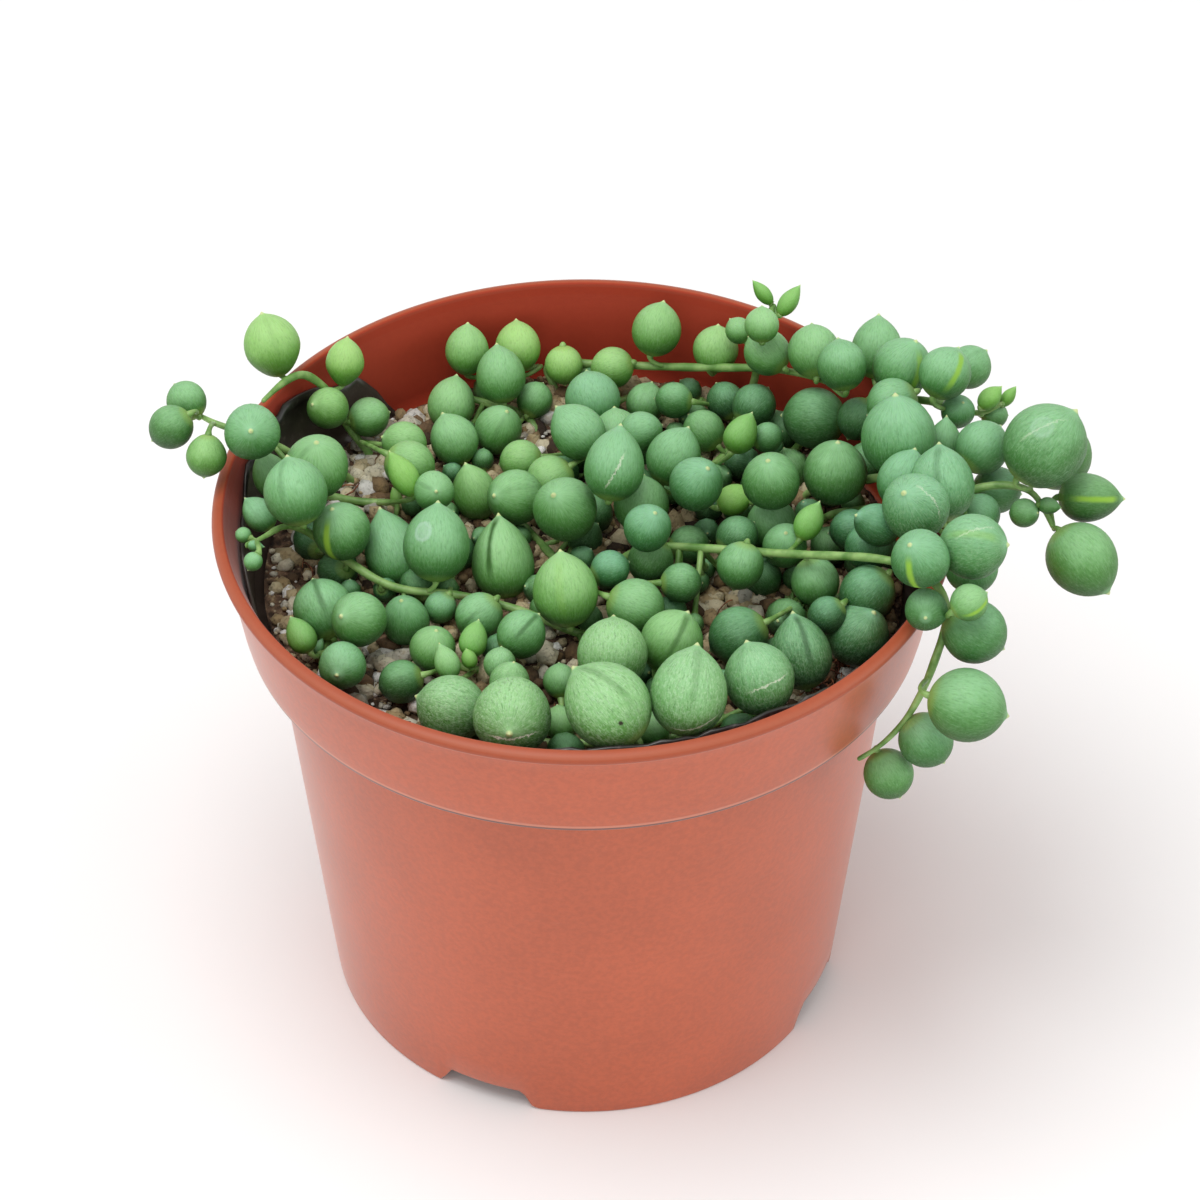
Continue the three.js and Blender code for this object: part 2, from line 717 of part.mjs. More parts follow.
// Moves a knot out of a ball round a centre
function pushClear(knot, centre, room) {
  const away = knot.clone().sub(centre);
  const distance = away.length();
  if (distance < room && distance > 0) knot.addScaledVector(away, (room - distance) / distance);
}

// Plant

// The way a pearl points: towards its tip where that shows, otherwise away from its stem and
// a little back from the viewer
function pearlDirection(pearl, root) {
  if (pearl.tipX === undefined) {
    const away = pearl.centre.clone().sub(root).projectOnPlane(sight).normalize();
    return away.addScaledVector(sight, leanBack).normalize();
  }
  const reach = (pearl.length || pearl.width) / 2;
  let [a, b] = [(pearl.tipX - pearl.x) / reach, (pearl.y - pearl.tipY) / reach];
  const size = Math.max(1, Math.hypot(a, b));
  [a, b] = [a / size, b / size];
  const towards = Math.sqrt(Math.max(0, 1 - a * a - b * b));
  const direction = sightRight.clone().multiplyScalar(a);
  return direction.addScaledVector(sightUp, b).addScaledVector(sight, -towards).normalize();
}

// A round leaf with a blunt base and a pointed tip, along +Y
function pearlSolid(pearl, extra) {
  const flats = pearlSides.find(([width]) => pearl.radius * 2 < width)[1];
  const girth = (pearl.radius + extra) / Math.cos(Math.PI / flats) ** 0.5;
  const half = pearl.half + extra;
  const outline = [[0, -0.98], [0.74, -0.66], [1.02, 0], [0.74, 0.66], [0, 1.07]];
  const profile = outline.map(([across, along]) => new THREE.Vector2(across * girth, along * half));
  const leaf = new THREE.LatheGeometry(profile, flats);
  const turn = new THREE.Quaternion();
  leaf.applyQuaternion(turn.setFromUnitVectors(new THREE.Vector3(0, 1, 0), pearl.direction));
  leaf.translate(pearl.centre.x, pearl.centre.y, pearl.centre.z);
  return solidOf(leaf);
}

// The nearest place on its stem from which a pearl's stalk runs clear of wall and other strands
function attachment(pearl, pearls, lines) {
  const free = lines[pearl.strand].slice(rootKnots);
  free.sort((a, b) => a.distanceTo(pearl.centre) - b.distanceTo(pearl.centre));
  const others = lines.filter((line, index) => index !== pearl.strand);
  const leaves = pearls.filter((other) => other.strand !== pearl.strand);
  const clear = free.find((knot) => {
    for (let tenths = 1; tenths < 10; tenths += 1) {
      const place = knot.clone().lerp(pearl.centre, tenths / 10);
      const room = stemWidth / 2 + stalkWidth / 2 + clearance;
      if (others.some((line) => nearestOnLine(line, place).distanceTo(place) < room)) return false;
      if (leaves.some((other) => other.centre.distanceTo(place) < other.radius)) return false;
      if (nearestWall(place).distanceTo(place) < stalkWidth / 2 + clearance) return false;
    }
    return true;
  });
  return clear ?? free[0];
}

// A short stalk from the stem into the pearl's base
function stalkSolid(pearl, extra) {
  const width = Math.min(stalkWidth, pearl.radius) + 2 * extra;
  const base = pearl.centre.clone().addScaledVector(pearl.direction, -pearl.half * stalkInPearl);
  return tube([pearl.knot, base], width, stalkFlats, 1);
}

function stemSolid(stem, extra) {
  return tube(stem, stemWidth + 2 * extra, stemFlats, stem.length - 1);
}

// The room taken up by the pot's collar and rim and the liner inside them
function rimRoom() {
  const lined = 2 * gap + linerWall;
  const lipLow = potHeight - lipHeight;
  return solidOf(turned([
    [potInnerRadius(soilEdgeHeight) - lined, soilEdgeHeight],
    [bodyTopRadius, collarLowHeight - gap],
    [collarLowRadius + gap, collarLowHeight - gap],
    [collarTopRadius + gap, lipLow - gap],
    [rimRadius + gap, lipLow - gap],
    [rimRadius + gap, potHeight + gap],
    [lipInnerRadius - gap, potHeight + gap],
    [potInnerRadius(lipLow) - lined, lipLow],
    [potInnerRadius(soilEdgeHeight) - lined, soilEdgeHeight],
  ]));
}

// All leafy stems as solids. Each gives way to the stems of the others and to earlier leaves.
function plantSolids() {
  const stems = strands.map(stemPoints);
  const pearls = placedPearls(stems);
  const lines = settledStems(stems, pearls);
  for (const pearl of pearls) {
    pearl.knot = attachment(pearl, pearls, lines);
    pearl.direction = pearlDirection(pearl, pearl.knot);
  }
  const own = (index) => pearls.filter((pearl) => pearl.strand === index);
  const slim = strands.map((strand, index) => (
    joined([stemSolid(lines[index], 0), ...own(index).map((pearl) => stalkSolid(pearl, 0))])
  ));
  const slimRoom = strands.map((strand, index) => (
    joined([stemSolid(lines[index], gap), ...own(index).map((pearl) => stalkSolid(pearl, gap))])
  ));
  const pearlRoom = strands.map((strand, index) => (
    joined(own(index).map((pearl) => pearlSolid(pearl, gap)))
  ));
  const rim = rimRoom();
  const solids = [];
  strands.forEach((strand, index) => {
    let leaves = joined(own(index).map((pearl) => pearlSolid(pearl, 0))).subtract(rim);
    let stalks = slim[index];
    for (let other = 0; other < strands.length; other += 1) {
      if (other === index) continue;
      leaves = leaves.subtract(slimRoom[other]);
      if (other < index) {
        leaves = leaves.subtract(pearlRoom[other]);
        stalks = stalks.subtract(slimRoom[other]);
      }
    }
    solids.push(largestBody(stalks.add(leaves)));
  });
  return { solids, room: joined(slimRoom), pearls, lines };
}

// Materials and assembly

function finish(color, roughness) {
  return new THREE.MeshStandardMaterial({ color, roughness, metalness: 0 });
}

const plant = plantSolids();
const object = new THREE.Group();
const terracotta = finish(0xc0684a, 0.55);
const leafGreen = finish(0x6fa05c, 0.4);
object.add(meshOf(potSolid(), "pot", terracotta));
object.add(meshOf(linerSolid(), "liner", finish(0x1c1c1d, 0.5)));
object.add(meshOf(soilSolid(plant), "soil", finish(0x9a8468, 0.95)));
strands.forEach((strand, index) => {
  object.add(meshOf(plant.solids[index], strand.name, leafGreen));
});

// The origin is under the middle of the whole object, on the surface it stands on
const bounds = new THREE.Box3().setFromObject(object);
object.position.set(-(bounds.min.x + bounds.max.x) / 2, -(bounds.min.y + bounds.max.y) / 2, 0);

export default object;
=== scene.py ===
"""A string-of-pearls plant in a round plastic nursery pot.

Sizes are millimetres in the pot's own frame, whose axis is x = y = 0 and whose foot is at z = 0.
Each piece is moved into the part's frame, in metres, when its mesh is finished.
"""

import math
import random

import bmesh
import bpy
import numpy as np
from bpy.props import FloatProperty, FloatVectorProperty, IntProperty, PointerProperty
from mathutils import Matrix, Vector


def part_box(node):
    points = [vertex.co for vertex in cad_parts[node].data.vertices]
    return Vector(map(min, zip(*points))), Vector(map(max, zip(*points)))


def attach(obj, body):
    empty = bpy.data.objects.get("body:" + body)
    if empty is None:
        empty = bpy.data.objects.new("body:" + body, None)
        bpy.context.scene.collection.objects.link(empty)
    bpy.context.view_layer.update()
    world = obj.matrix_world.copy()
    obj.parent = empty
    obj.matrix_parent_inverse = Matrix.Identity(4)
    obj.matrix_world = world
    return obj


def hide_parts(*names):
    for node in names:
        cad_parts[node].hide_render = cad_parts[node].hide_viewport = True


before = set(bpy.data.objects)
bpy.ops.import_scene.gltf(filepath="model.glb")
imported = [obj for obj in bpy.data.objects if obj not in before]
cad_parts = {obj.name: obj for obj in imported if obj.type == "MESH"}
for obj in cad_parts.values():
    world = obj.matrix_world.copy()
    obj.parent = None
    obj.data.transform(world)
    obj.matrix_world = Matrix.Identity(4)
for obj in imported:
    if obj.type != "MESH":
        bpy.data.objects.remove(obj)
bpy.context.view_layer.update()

bl_info = {
    "name": "Potted String of Pearls",
    "version": (1, 0, 0),
    "blender": (4, 5, 0),
    "location": "3D View > Sidebar > Pearls",
    "description": "Models a trailing succulent with round leaves in a plastic pot",
    "category": "Object",
}

MM = 0.001
POT_LOW, POT_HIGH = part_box("pot")
AXIS_X = (POT_LOW[0] + POT_HIGH[0]) / 2
AXIS_Y = (POT_LOW[1] + POT_HIGH[1]) / 2

# Pot
RIM_RADIUS = 45
POT_HEIGHT = 73.6
LIP_HEIGHT = 1.7
LIP_INNER_RADIUS = 42.9
LIP_FLAT_RADIUS = 43.5
COLLAR_TOP_RADIUS = 44
COLLAR_LOW_RADIUS = 41.9
COLLAR_LOW_HEIGHT = 58.7
BODY_TOP_RADIUS = 38.5
FOOT_RADIUS = 32.6
WALL = 1.3
BASE_HEIGHT = 3.1
BASE_THICKNESS = 1.5
NOTCH_HEIGHT = 3.06
NOTCH_HALF_ANGLE = math.radians(10.8)
FIRST_NOTCH_ANGLE = math.radians(-112.5)
NOTCH_COUNT = 4
NOTCH_SLANT = math.radians(2.4)
NOTCH_ROUNDING = math.radians(1.6)
DRAIN_RADIUS = 3
DRAIN_CIRCLE = 20
DRAIN_COUNT = 6
POT_STEPS = 240
LIP_LOW = POT_HEIGHT - LIP_HEIGHT
LEDGE_HEIGHT = COLLAR_LOW_HEIGHT + WALL
BASE_TOP = BASE_HEIGHT + BASE_THICKNESS

# Liner and soil
GAP = 0.3
LINER_WALL = 0.7
LINER_BELOW_RIM = 0.8
LINER_STEPS = 180
LINER_TOPS = (
    62, 59, 56, 55, 54, 54, 54, 54, 56, 69, 72.5, 72.3,
    69, 66, 65, 65, 66, 70, 72.2, 72.4, 72.4, 71, 69, 66,
)
SOIL_RADIUS = 39.2
SOIL_EDGE_HEIGHT = 62
SOIL_RISE = 0.8
SOIL_WAVE = 0.4
SOIL_RINGS = 70
SOIL_STEPS = 200
WAVE_ACROSS = 5.5
WAVE_DEEP = 6.5
LINED = 2 * GAP + LINER_WALL

# Plant: how thick its stems are, how the leaves lie, how far each leaf and stem is pushed clear
# of what it would touch, and how the stems root
STEM_WIDTH = 1.15
STALK_WIDTH = 0.8
LEAN_BACK = 0.25
CLEARANCE = 0.36
FACING = 1.05
HARDNESS = 4
SOFTNESS = 0.5
STEM_PRESS = 0.9
MIDDLING_RADIUS = 3
FARTHEST_MOVE = 13
MOVE_STEP = 0.25
ROOT_DEPTH = 5.5
ROOT_RISE = 1
FARTHEST_ROOT = 34
STEM_STEP = 2.8
ROOT_KNOTS = 3
SETTLE_ROUNDS = 40
SETTLE_PULL = 0.4
FOLLOW = 0.49
STEM_IN_PEARL = 0.7
STEM_APART = 1.5
SEARCH_MARGIN = 4

# Where the picture was taken from, so that a place in it can be given as pixels and a height
EYE = np.array((0.0, -416.2, 425.3))
AIM = np.array((2.0, 0.0, 57.7))
FOCAL_PIXELS = 4500
PICTURE_WIDTH = 1200
MIDDLE_PIXEL = PICTURE_WIDTH / 2
SENSOR_WIDTH = 36
SIGHT = (AIM - EYE) / np.linalg.norm(AIM - EYE)
SIGHT_RIGHT = np.cross(SIGHT, (0, 0, 1))
SIGHT_RIGHT /= np.linalg.norm(SIGHT_RIGHT)
SIGHT_UP = np.cross(SIGHT_RIGHT, SIGHT)

# Each leafy stem starts at its root. A stem's knots are (x, y, height), and a pearl is
# (x, y, width, height, tip x, tip y, length): x, y, width and length are pixels in the picture,
# a height of 0 lets it lie on the soil, and the tip and length are left out where they don't show.
STRANDS = {
    "strand_back": (
        (
            (560, 385, 63), (545, 372, 65.5), (540, 361, 66), (620, 365, 67), (700, 368, 69),
            (780, 368, 72), (830, 385, 74.5),
        ),
        (
            (467, 348, 46, 68.5, 468, 322, 54), (518, 345, 48, 69, 516, 318, 54),
            (564, 366, 40, 67), (611, 368, 44, 67), (657, 328, 52, 72.5, 664, 300, 58),
            (716, 348, 48, 70, 718, 325), (766, 352, 48, 72.5), (814, 350, 55, 75.5),
            (842, 364, 52, 77, 838, 338),
        ),
    ),
    "strand_shoot": (
        (
            (757, 403, 62.5), (755, 388, 66), (758, 350, 73), (765, 322, 77), (773, 305, 79.5),
        ),
        (
            (738, 330, 28, 75, 727, 315), (762, 324, 36, 76.5, 762, 304),
            (762, 292, 16, 81, 752, 280, 32), (790, 300, 20, 80.5, 801, 284, 38),
        ),
    ),
    "strand_back_left": (
        (
            (540, 440, 61.8), (525, 415, 62.4), (490, 408, 63.5), (462, 398, 64.5),
        ),
        (
            (500, 373, 52, 70, 496, 339, 62), (452, 402, 50, 66, 457, 373, 58),
            (453, 438, 50, 0, 442, 412, 57), (499, 428, 50, 0, 508, 411, 59), (535, 399, 38, 0),
        ),
    ),
    "strand_middle_back": (
        (
            (600, 475, 62), (598, 440, 62.3), (606, 405, 63), (650, 395, 63.5),
        ),
        (
            (592, 398, 58, 66), (576, 430, 55, 67, 554, 404, 64), (617, 433, 52, 66, 614, 405),
            (646, 402, 42, 65, 652, 382), (642, 432, 44, 67), (615, 462, 62, 70, 621, 422, 78),
            (549, 480, 50, 0), (520, 461, 44, 0),
        ),
    ),
    "strand_middle_right": (
        (
            (700, 520, 61.8), (702, 475, 63), (735, 452, 63.8), (742, 418, 63.6), (705, 402, 63),
        ),
        (
            (673, 400, 38, 0), (703, 430, 44, 65), (742, 432, 34, 68, 755, 407, 46),
            (768, 437, 32, 66), (675, 455, 56, 67, 690, 424, 64), (697, 483, 56, 70, 708, 468, 60),
            (736, 499, 33, 68, 754, 490, 40), (771, 480, 60, 70, 767, 461), (725, 400, 40, 0),
            (755, 405, 46, 0),
        ),
    ),
    "strand_right_back": (
        (
            (800, 450, 62), (818, 432, 66), (858, 405, 71.5), (900, 398, 75), (945, 402, 75.5),
            (975, 418, 76), (990, 411, 76.6), (1003, 403, 77.4),
        ),
        (
            (877, 346, 54, 74, 879, 312, 66), (903, 366, 61, 73, 915, 342),
            (946, 372, 54, 75, 959, 347), (970, 366, 46, 75, 987, 350), (891, 404, 52, 70),
            (858, 420, 44, 0), (899, 434, 78, 72, 894, 394, 88), (958, 411, 36, 76, 962, 403),
            (991, 397, 22, 77.5, 1003, 385, 32), (1009, 396, 14, 77.5, 1016, 386, 26),
            (995, 415, 28, 75), (813, 418, 64, 66), (835, 471, 66, 66, 837, 443),
        ),
    ),
    "strand_right": (
        (
            (800, 500, 62), (825, 488, 66), (860, 478, 71.5), (915, 468, 76), (953, 480, 77.2),
            (966, 512, 76.8), (962, 545, 76),
        ),
        (
            (944, 441, 38, 74, 946, 415, 56), (983, 446, 56, 74), (905, 478, 56, 71, 915, 448, 64),
            (941, 482, 69, 72, 939, 442, 80), (915, 506, 70, 73, 901, 493, 74),
            (875, 524, 44, 70, 854, 515, 54), (850, 530, 44, 66), (868, 548, 50, 66),
            (868, 462, 44, 0), (998, 490, 50, 72), (981, 514, 42, 71),
            (975, 546, 68, 74, 1008, 545, 72), (972, 568, 56, 71),
        ),
    ),
    "strand_far_right": (
        (
            (815, 525, 62), (860, 508, 69.5), (925, 503, 75), (960, 492, 75.6), (985, 484, 75.8),
            (1020, 484, 76.3), (1033, 490, 76), (1041, 501, 75.2), (1046, 515, 73.6),
            (1053, 529, 72.3),
        ),
        (
            (1047, 444, 86, 76, 1076, 410, 92), (1060, 455, 70, 74),
            (1092, 498, 52, 74, 1127, 499, 68), (1084, 562, 74, 70, 1113, 599, 84),
            (1025, 513, 31, 74, 1037, 513), (1050, 506, 18, 74.5, 1062, 508, 24),
        ),
    ),
    "strand_hanging": (
        (
            (615, 585, 62), (615, 560, 66), (650, 545, 68.5), (720, 549, 70), (800, 555, 72.5),
            (885, 557, 76), (925, 572, 76.4), (941, 588, 76), (949, 604, 75), (949, 620, 73.4),
            (935, 660, 68.5), (926, 685, 65.3), (905, 724, 60.5), (870, 755, 56.5), (857, 760, 56),
        ),
        (
            (648, 527, 50, 70, 655, 513), (641, 503, 58, 66), (740, 567, 49, 0),
            (785, 545, 47, 67, 785, 533), (772, 523, 54, 0, 762, 496),
            (810, 520, 30, 71, 822, 497, 44), (816, 583, 51, 0), (738, 536, 44, 0),
            (690, 545, 42, 0), (650, 562, 48, 0), (920, 558, 61, 75, 908, 545),
            (926, 610, 45, 74, 924, 618), (970, 602, 39, 74.5, 988, 592), (976, 632, 68, 71),
            (969, 706, 78, 65, 1011, 717, 84), (927, 741, 58, 58), (889, 775, 53, 53),
        ),
    ),
    "strand_right_front": (
        (
            (790, 602, 61.8), (815, 608, 62.2), (842, 602, 62.8), (868, 592, 64),
        ),
        (
            (866, 594, 58, 0), (858, 633, 66, 0, 873, 612), (800, 650, 64, 0, 792, 608, 80),
            (737, 637, 62, 0), (826, 616, 40, 0),
        ),
    ),
    "strand_front": (
        (
            (470, 735, 62), (510, 744, 62.8), (560, 745, 63), (640, 744, 63), (690, 735, 63.5),
            (740, 712, 64), (765, 698, 64.5),
        ),
        (
            (450, 708, 72, 0, 412, 695), (512, 717, 82, 66, 510, 733), (560, 722, 36, 0),
            (605, 703, 87, 66, 571, 665, 98), (650, 728, 40, 0), (689, 689, 80, 66, 698, 640, 94),
            (758, 677, 73, 66, 746, 640, 78), (613, 652, 73, 0), (672, 640, 66, 0, 688, 612),
            (560, 680, 36, 0),
        ),
    ),
    "strand_left": (
        (
            (600, 642, 62.3), (582, 636, 63.5), (545, 620, 65), (515, 608, 66), (450, 592, 66),
            (400, 592, 66), (370, 577, 67), (350, 562, 67.5), (325, 545, 68.5), (305, 528, 70.5),
            (285, 523, 72.5), (268, 535, 74), (256, 541, 75),
        ),
        (
            (258, 513, 34, 73, 243, 496, 42), (243, 535, 17, 74.5),
            (256, 546, 12, 74.5, 265, 547, 18), (253, 562, 20, 75.5, 247, 572),
            (341, 530, 61, 70, 333, 509), (392, 546, 62, 0, 378, 503, 84),
            (437, 541, 70, 68, 438, 500, 82), (405, 618, 50, 0, 402, 599, 62), (440, 608, 34, 0),
            (478, 617, 50, 0), (522, 633, 51, 0, 540, 613),
        ),
    ),
    "strand_left_back": (
        (
            (365, 455, 62), (348, 432, 65), (335, 398, 70), (318, 381, 74), (303, 371, 76.5),
            (290, 377, 77), (276, 388, 77.5), (262, 402, 77.5),
        ),
        (
            (271, 343, 60, 79, 262, 312, 68), (345, 360, 41, 74, 348, 336, 50),
            (327, 408, 44, 71, 313, 405), (370, 417, 42, 67), (403, 443, 46, 0, 382, 437),
            (411, 466, 52, 0),
        ),
    ),
    "strand_left_edge": (
        (
            (355, 480, 62), (320, 470, 66), (285, 450, 72), (255, 436, 75.8), (228, 428, 77),
            (210, 422, 77.5), (197, 414, 77.5),
        ),
        (
            (186, 400, 42, 78.5), (170, 428, 46, 76), (206, 457, 43, 75),
            (252, 432, 59, 78.5, 253, 432), (317, 465, 66, 70, 318, 443),
        ),
    ),
    "strand_left_inner": (
        (
            (425, 515, 61.8), (397, 509, 62.4), (350, 505, 62.8), (315, 495, 64.5), (285, 485, 66),
        ),
        (
            (295, 490, 66, 71, 287, 455, 72), (271, 474, 40, 68.5, 259, 449, 56),
            (402, 473, 30, 66, 388, 449, 52), (396, 497, 13, 63, 392, 486, 22),
            (434, 491, 42, 0, 437, 492),
        ),
    ),
    "strand_left_front": (
        (
            (350, 615, 61.8), (332, 640, 62.4), (318, 658, 63.5),
        ),
        (
            (323, 608, 64, 0), (358, 619, 58, 66, 342, 616), (300, 634, 31, 66, 289, 614, 42),
            (319, 647, 12, 64, 323, 637, 22), (342, 666, 50, 65, 338, 675),
        ),
    ),
    "strand_front_left": (
        (
            (430, 668, 61.5), (455, 674, 62.5), (475, 674, 63.5), (500, 682, 63),
        ),
        (
            (433, 648, 49, 0, 437, 630), (446, 661, 27, 66, 438, 640, 40),
            (474, 638, 30, 68, 479, 618, 40), (469, 658, 17, 67, 466, 648, 22), (500, 663, 34, 0),
            (510, 681, 42, 65, 514, 662), (400, 682, 46, 61.5),
        ),
    ),
    "strand_centre": (
        (
            (585, 612, 62), (566, 580, 62.3), (530, 540, 62.4), (500, 510, 62.4), (480, 495, 62.4),
        ),
        (
            (502, 556, 66, 0, 498, 509, 88), (565, 588, 68, 0, 560, 549, 79), (637, 608, 60, 0),
            (611, 569, 40, 0), (682, 583, 42, 0), (474, 490, 48, 0, 465, 462, 62),
            (514, 497, 58, 0, 493, 496, 62), (564, 508, 67, 68, 553, 495, 76),
        ),
    ),
}


# Places of the stems and pearls, by the same rule as the solid model's


def at_height(x, y, height):
    """The point at a given height that shows at a pixel of the picture"""
    ray = SIGHT * FOCAL_PIXELS + SIGHT_RIGHT * (x - MIDDLE_PIXEL) + SIGHT_UP * (MIDDLE_PIXEL - y)
    return EYE + ray * ((height - EYE[2]) / ray[2])


def soil_height(x, y):
    """The height of the soil's top, which is domed a little and wavy"""
    outward = math.hypot(x, y) / SOIL_RADIUS
    dome = SOIL_RISE * max(0, 1 - outward * outward)
    wave = SOIL_WAVE * math.sin(x / WAVE_ACROSS + 1) * math.cos(y / WAVE_DEEP)
    return SOIL_EDGE_HEIGHT + dome + wave * max(0, 1 - outward**6)


def ground_height(point):
    """What a leaf can lie on: the soil inside the pot, and the floor outside it"""
    if math.hypot(point[0], point[1]) < SOIL_RADIUS:
        return soil_height(point[0], point[1])
    return 0


def body_radius(height):
    return FOOT_RADIUS + (BODY_TOP_RADIUS - FOOT_RADIUS) * height / COLLAR_LOW_HEIGHT


def collar_radius(height):
    up = (height - COLLAR_LOW_HEIGHT) / (LIP_LOW - COLLAR_LOW_HEIGHT)
    return COLLAR_LOW_RADIUS + (COLLAR_TOP_RADIUS - COLLAR_LOW_RADIUS) * up


def pot_inner_radius(height):
    return (body_radius(height) if height < LEDGE_HEIGHT else collar_radius(height)) - WALL


# The pot's wall where a leaf can meet it, from the soil over the lip and down the outside
WALL_OUTLINE = np.array((
    (pot_inner_radius(SOIL_EDGE_HEIGHT) - GAP - LINER_WALL, SOIL_EDGE_HEIGHT),
    (pot_inner_radius(LIP_LOW) - GAP - LINER_WALL, LIP_LOW),
    (LIP_INNER_RADIUS, POT_HEIGHT),
    (RIM_RADIUS, POT_HEIGHT),
    (RIM_RADIUS, LIP_LOW),
    (COLLAR_TOP_RADIUS, LIP_LOW),
    (COLLAR_LOW_RADIUS, COLLAR_LOW_HEIGHT),
    (BODY_TOP_RADIUS, COLLAR_LOW_HEIGHT),
    (FOOT_RADIUS, 0),
))


def nearest_on_segments(starts, ends, point):
    """The nearest point to a point on each of some line segments"""
    runs = ends - starts
    along = np.einsum("ij,ij->i", point - starts, runs) / np.einsum("ij,ij->i", runs, runs)
    return starts + np.clip(along, 0, 1)[:, None] * runs


def nearest_wall(point):
    """The nearest point of the pot's wall"""
    outward = math.hypot(point[0], point[1])
    place = np.array((outward, point[2]))
    found = nearest_on_segments(WALL_OUTLINE[:-1], WALL_OUTLINE[1:], place)
    best = found[np.argmin(np.linalg.norm(found - place, axis=1))]
    return np.array((point[0] * best[0] / outward, point[1] * best[0] / outward, best[1]))


def nearest_on_line(line, point):
    found = nearest_on_segments(line[:-1], line[1:], point)
    return found[np.argmin(np.linalg.norm(found - point, axis=1))]


def rounded(knots, rounds=2):
    """Rounds a line of knots by cutting its corners"""
    line = [np.array(knot, dtype=float) for knot in knots]
    for _ in range(rounds):
        cut = [line[0]]
        for here, there in zip(line, line[1:]):
            cut += [here + (there - here) * 0.25, here + (there - here) * 0.75]
        line = cut + [line[-1]]
    return line


def evenly(line, step):
    """Points at even steps along a line"""
    reach = [0.0]
    for here, there in zip(line, line[1:]):
        reach.append(reach[-1] + float(np.linalg.norm(there - here)))
    count = max(2, math.floor(reach[-1] / step + 0.5))
    points = []
    at = 0
    for i in range(count + 1):
        want = reach[-1] * i / count
        while at + 2 < len(line) and reach[at + 1] < want:
            at += 1
        share = (want - reach[at]) / (reach[at + 1] - reach[at])
        points.append(line[at] + (line[at + 1] - line[at]) * share)
    return np.array(points)


def stem_points(knots):
    """Even points along a stem, from the end of its root to its tip"""
    points = [at_height(x, y, height) for x, y, height in knots]
    first = points[0]
    ground = soil_height(first[0], first[1])
    inward = min(1, FARTHEST_ROOT / math.hypot(first[0], first[1]))
    points[0] = np.array((first[0] * inward, first[1] * inward, max(first[2], ground + ROOT_RISE)))
    root = np.array((points[0][0], points[0][1], ground - ROOT_DEPTH))
    return evenly(rounded([root, *points]), STEM_STEP)


class Pearl:
    """One round leaf: its place, size, stalk and the way that it points"""

    def __init__(self, strand, row):
        x, y, width, height, *rest = row
        self.strand, self.x, self.y, self.width = strand, x, y, width
        self.tip = rest[:2] if len(rest) >= 2 else None
        self.length = rest[2] if len(rest) > 2 else None
        rough = at_height(x, y, height or SOIL_EDGE_HEIGHT + SOIL_RISE + MIDDLING_RADIUS)
        self.scale = float(np.dot(rough - EYE, SIGHT)) / FOCAL_PIXELS
        self.radius = width / 2 * self.scale
        low = SOIL_EDGE_HEIGHT + SOIL_RISE + self.radius
        self.start = rough if height else at_height(x, y, low)
        self.far = float(np.dot(self.start - EYE, SIGHT))
        self.centre = self.start

    def aim(self, knot):
        """Points it towards its tip where that shows, otherwise away from its stem and back"""
        self.knot = knot
        if self.tip is None:
            away = self.centre - knot
            away -= SIGHT * (away @ SIGHT)
            away = away / np.linalg.norm(away) + SIGHT * LEAN_BACK
            self.direction = away / np.linalg.norm(away)
            return
        reach = (self.length or self.width) / 2
        a, b = (self.tip[0] - self.x) / reach, (self.y - self.tip[1]) / reach
        size = max(1, math.hypot(a, b))
        a, b = a / size, b / size
        towards = math.sqrt(max(0, 1 - a * a - b * b))
        self.direction = SIGHT_RIGHT * a + SIGHT_UP * b - SIGHT * towards


def placed_pearls(stems):
    """Each pearl lies as deep as the ones behind it leave room for, on the line of sight"""
    names = list(STRANDS)
    pearls = [Pearl(names.index(name), row) for name in names for row in STRANDS[name][1]]
    pearls.sort(key=lambda pearl: -pearl.far)
    knots = np.concatenate(stems)
    owners = np.concatenate([np.full(len(stem), index) for index, stem in enumerate(stems)])
    placed = []
    for pearl in pearls:
        centres = np.array([other.centre for other in placed]).reshape(-1, 3)
        radii = np.array([other.radius for other in placed])
        own = np.array([other.strand == pearl.strand for other in placed], dtype=bool)
        room = (radii + pearl.radius) * FACING + np.where(own, 0, CLEARANCE)
        weight = np.where(own, SOFTNESS, 1)
        clear = pearl.radius + STEM_WIDTH / 2 + CLEARANCE
        knot_room = np.where(owners == pearl.strand, pearl.radius * STEM_PRESS, clear)
        towards_eye = (EYE - pearl.start) / np.linalg.norm(EYE - pearl.start)
        least = math.inf
        moved = 0.0
        while moved < FARTHEST_MOVE and least > 0:
            point = pearl.start + towards_eye * moved
            lack = HARDNESS * (ground_height(point) + CLEARANCE - (point[2] - pearl.radius))
            wall = np.linalg.norm(nearest_wall(point) - point)
            lack = max(lack, HARDNESS * (pearl.radius + CLEARANCE - wall), 0)
            if placed:
                gaps = np.linalg.norm(centres - point, axis=1)
                lack = max(lack, float((weight * (room - gaps)).max()))
            lack = max(lack, float((knot_room - np.linalg.norm(knots - point, axis=1)).max()))
            if lack < least:
                least = lack
                pearl.centre = point
            moved += MOVE_STEP
        placed.append(pearl)
    return placed


def push_clear(knot, centre, room):
    """Moves a knot straight away from a centre until it has room"""
    away = knot - centre
    distance = math.sqrt(float(away @ away))
    return knot + away * ((room - distance) / distance) if 0 < distance < room else knot


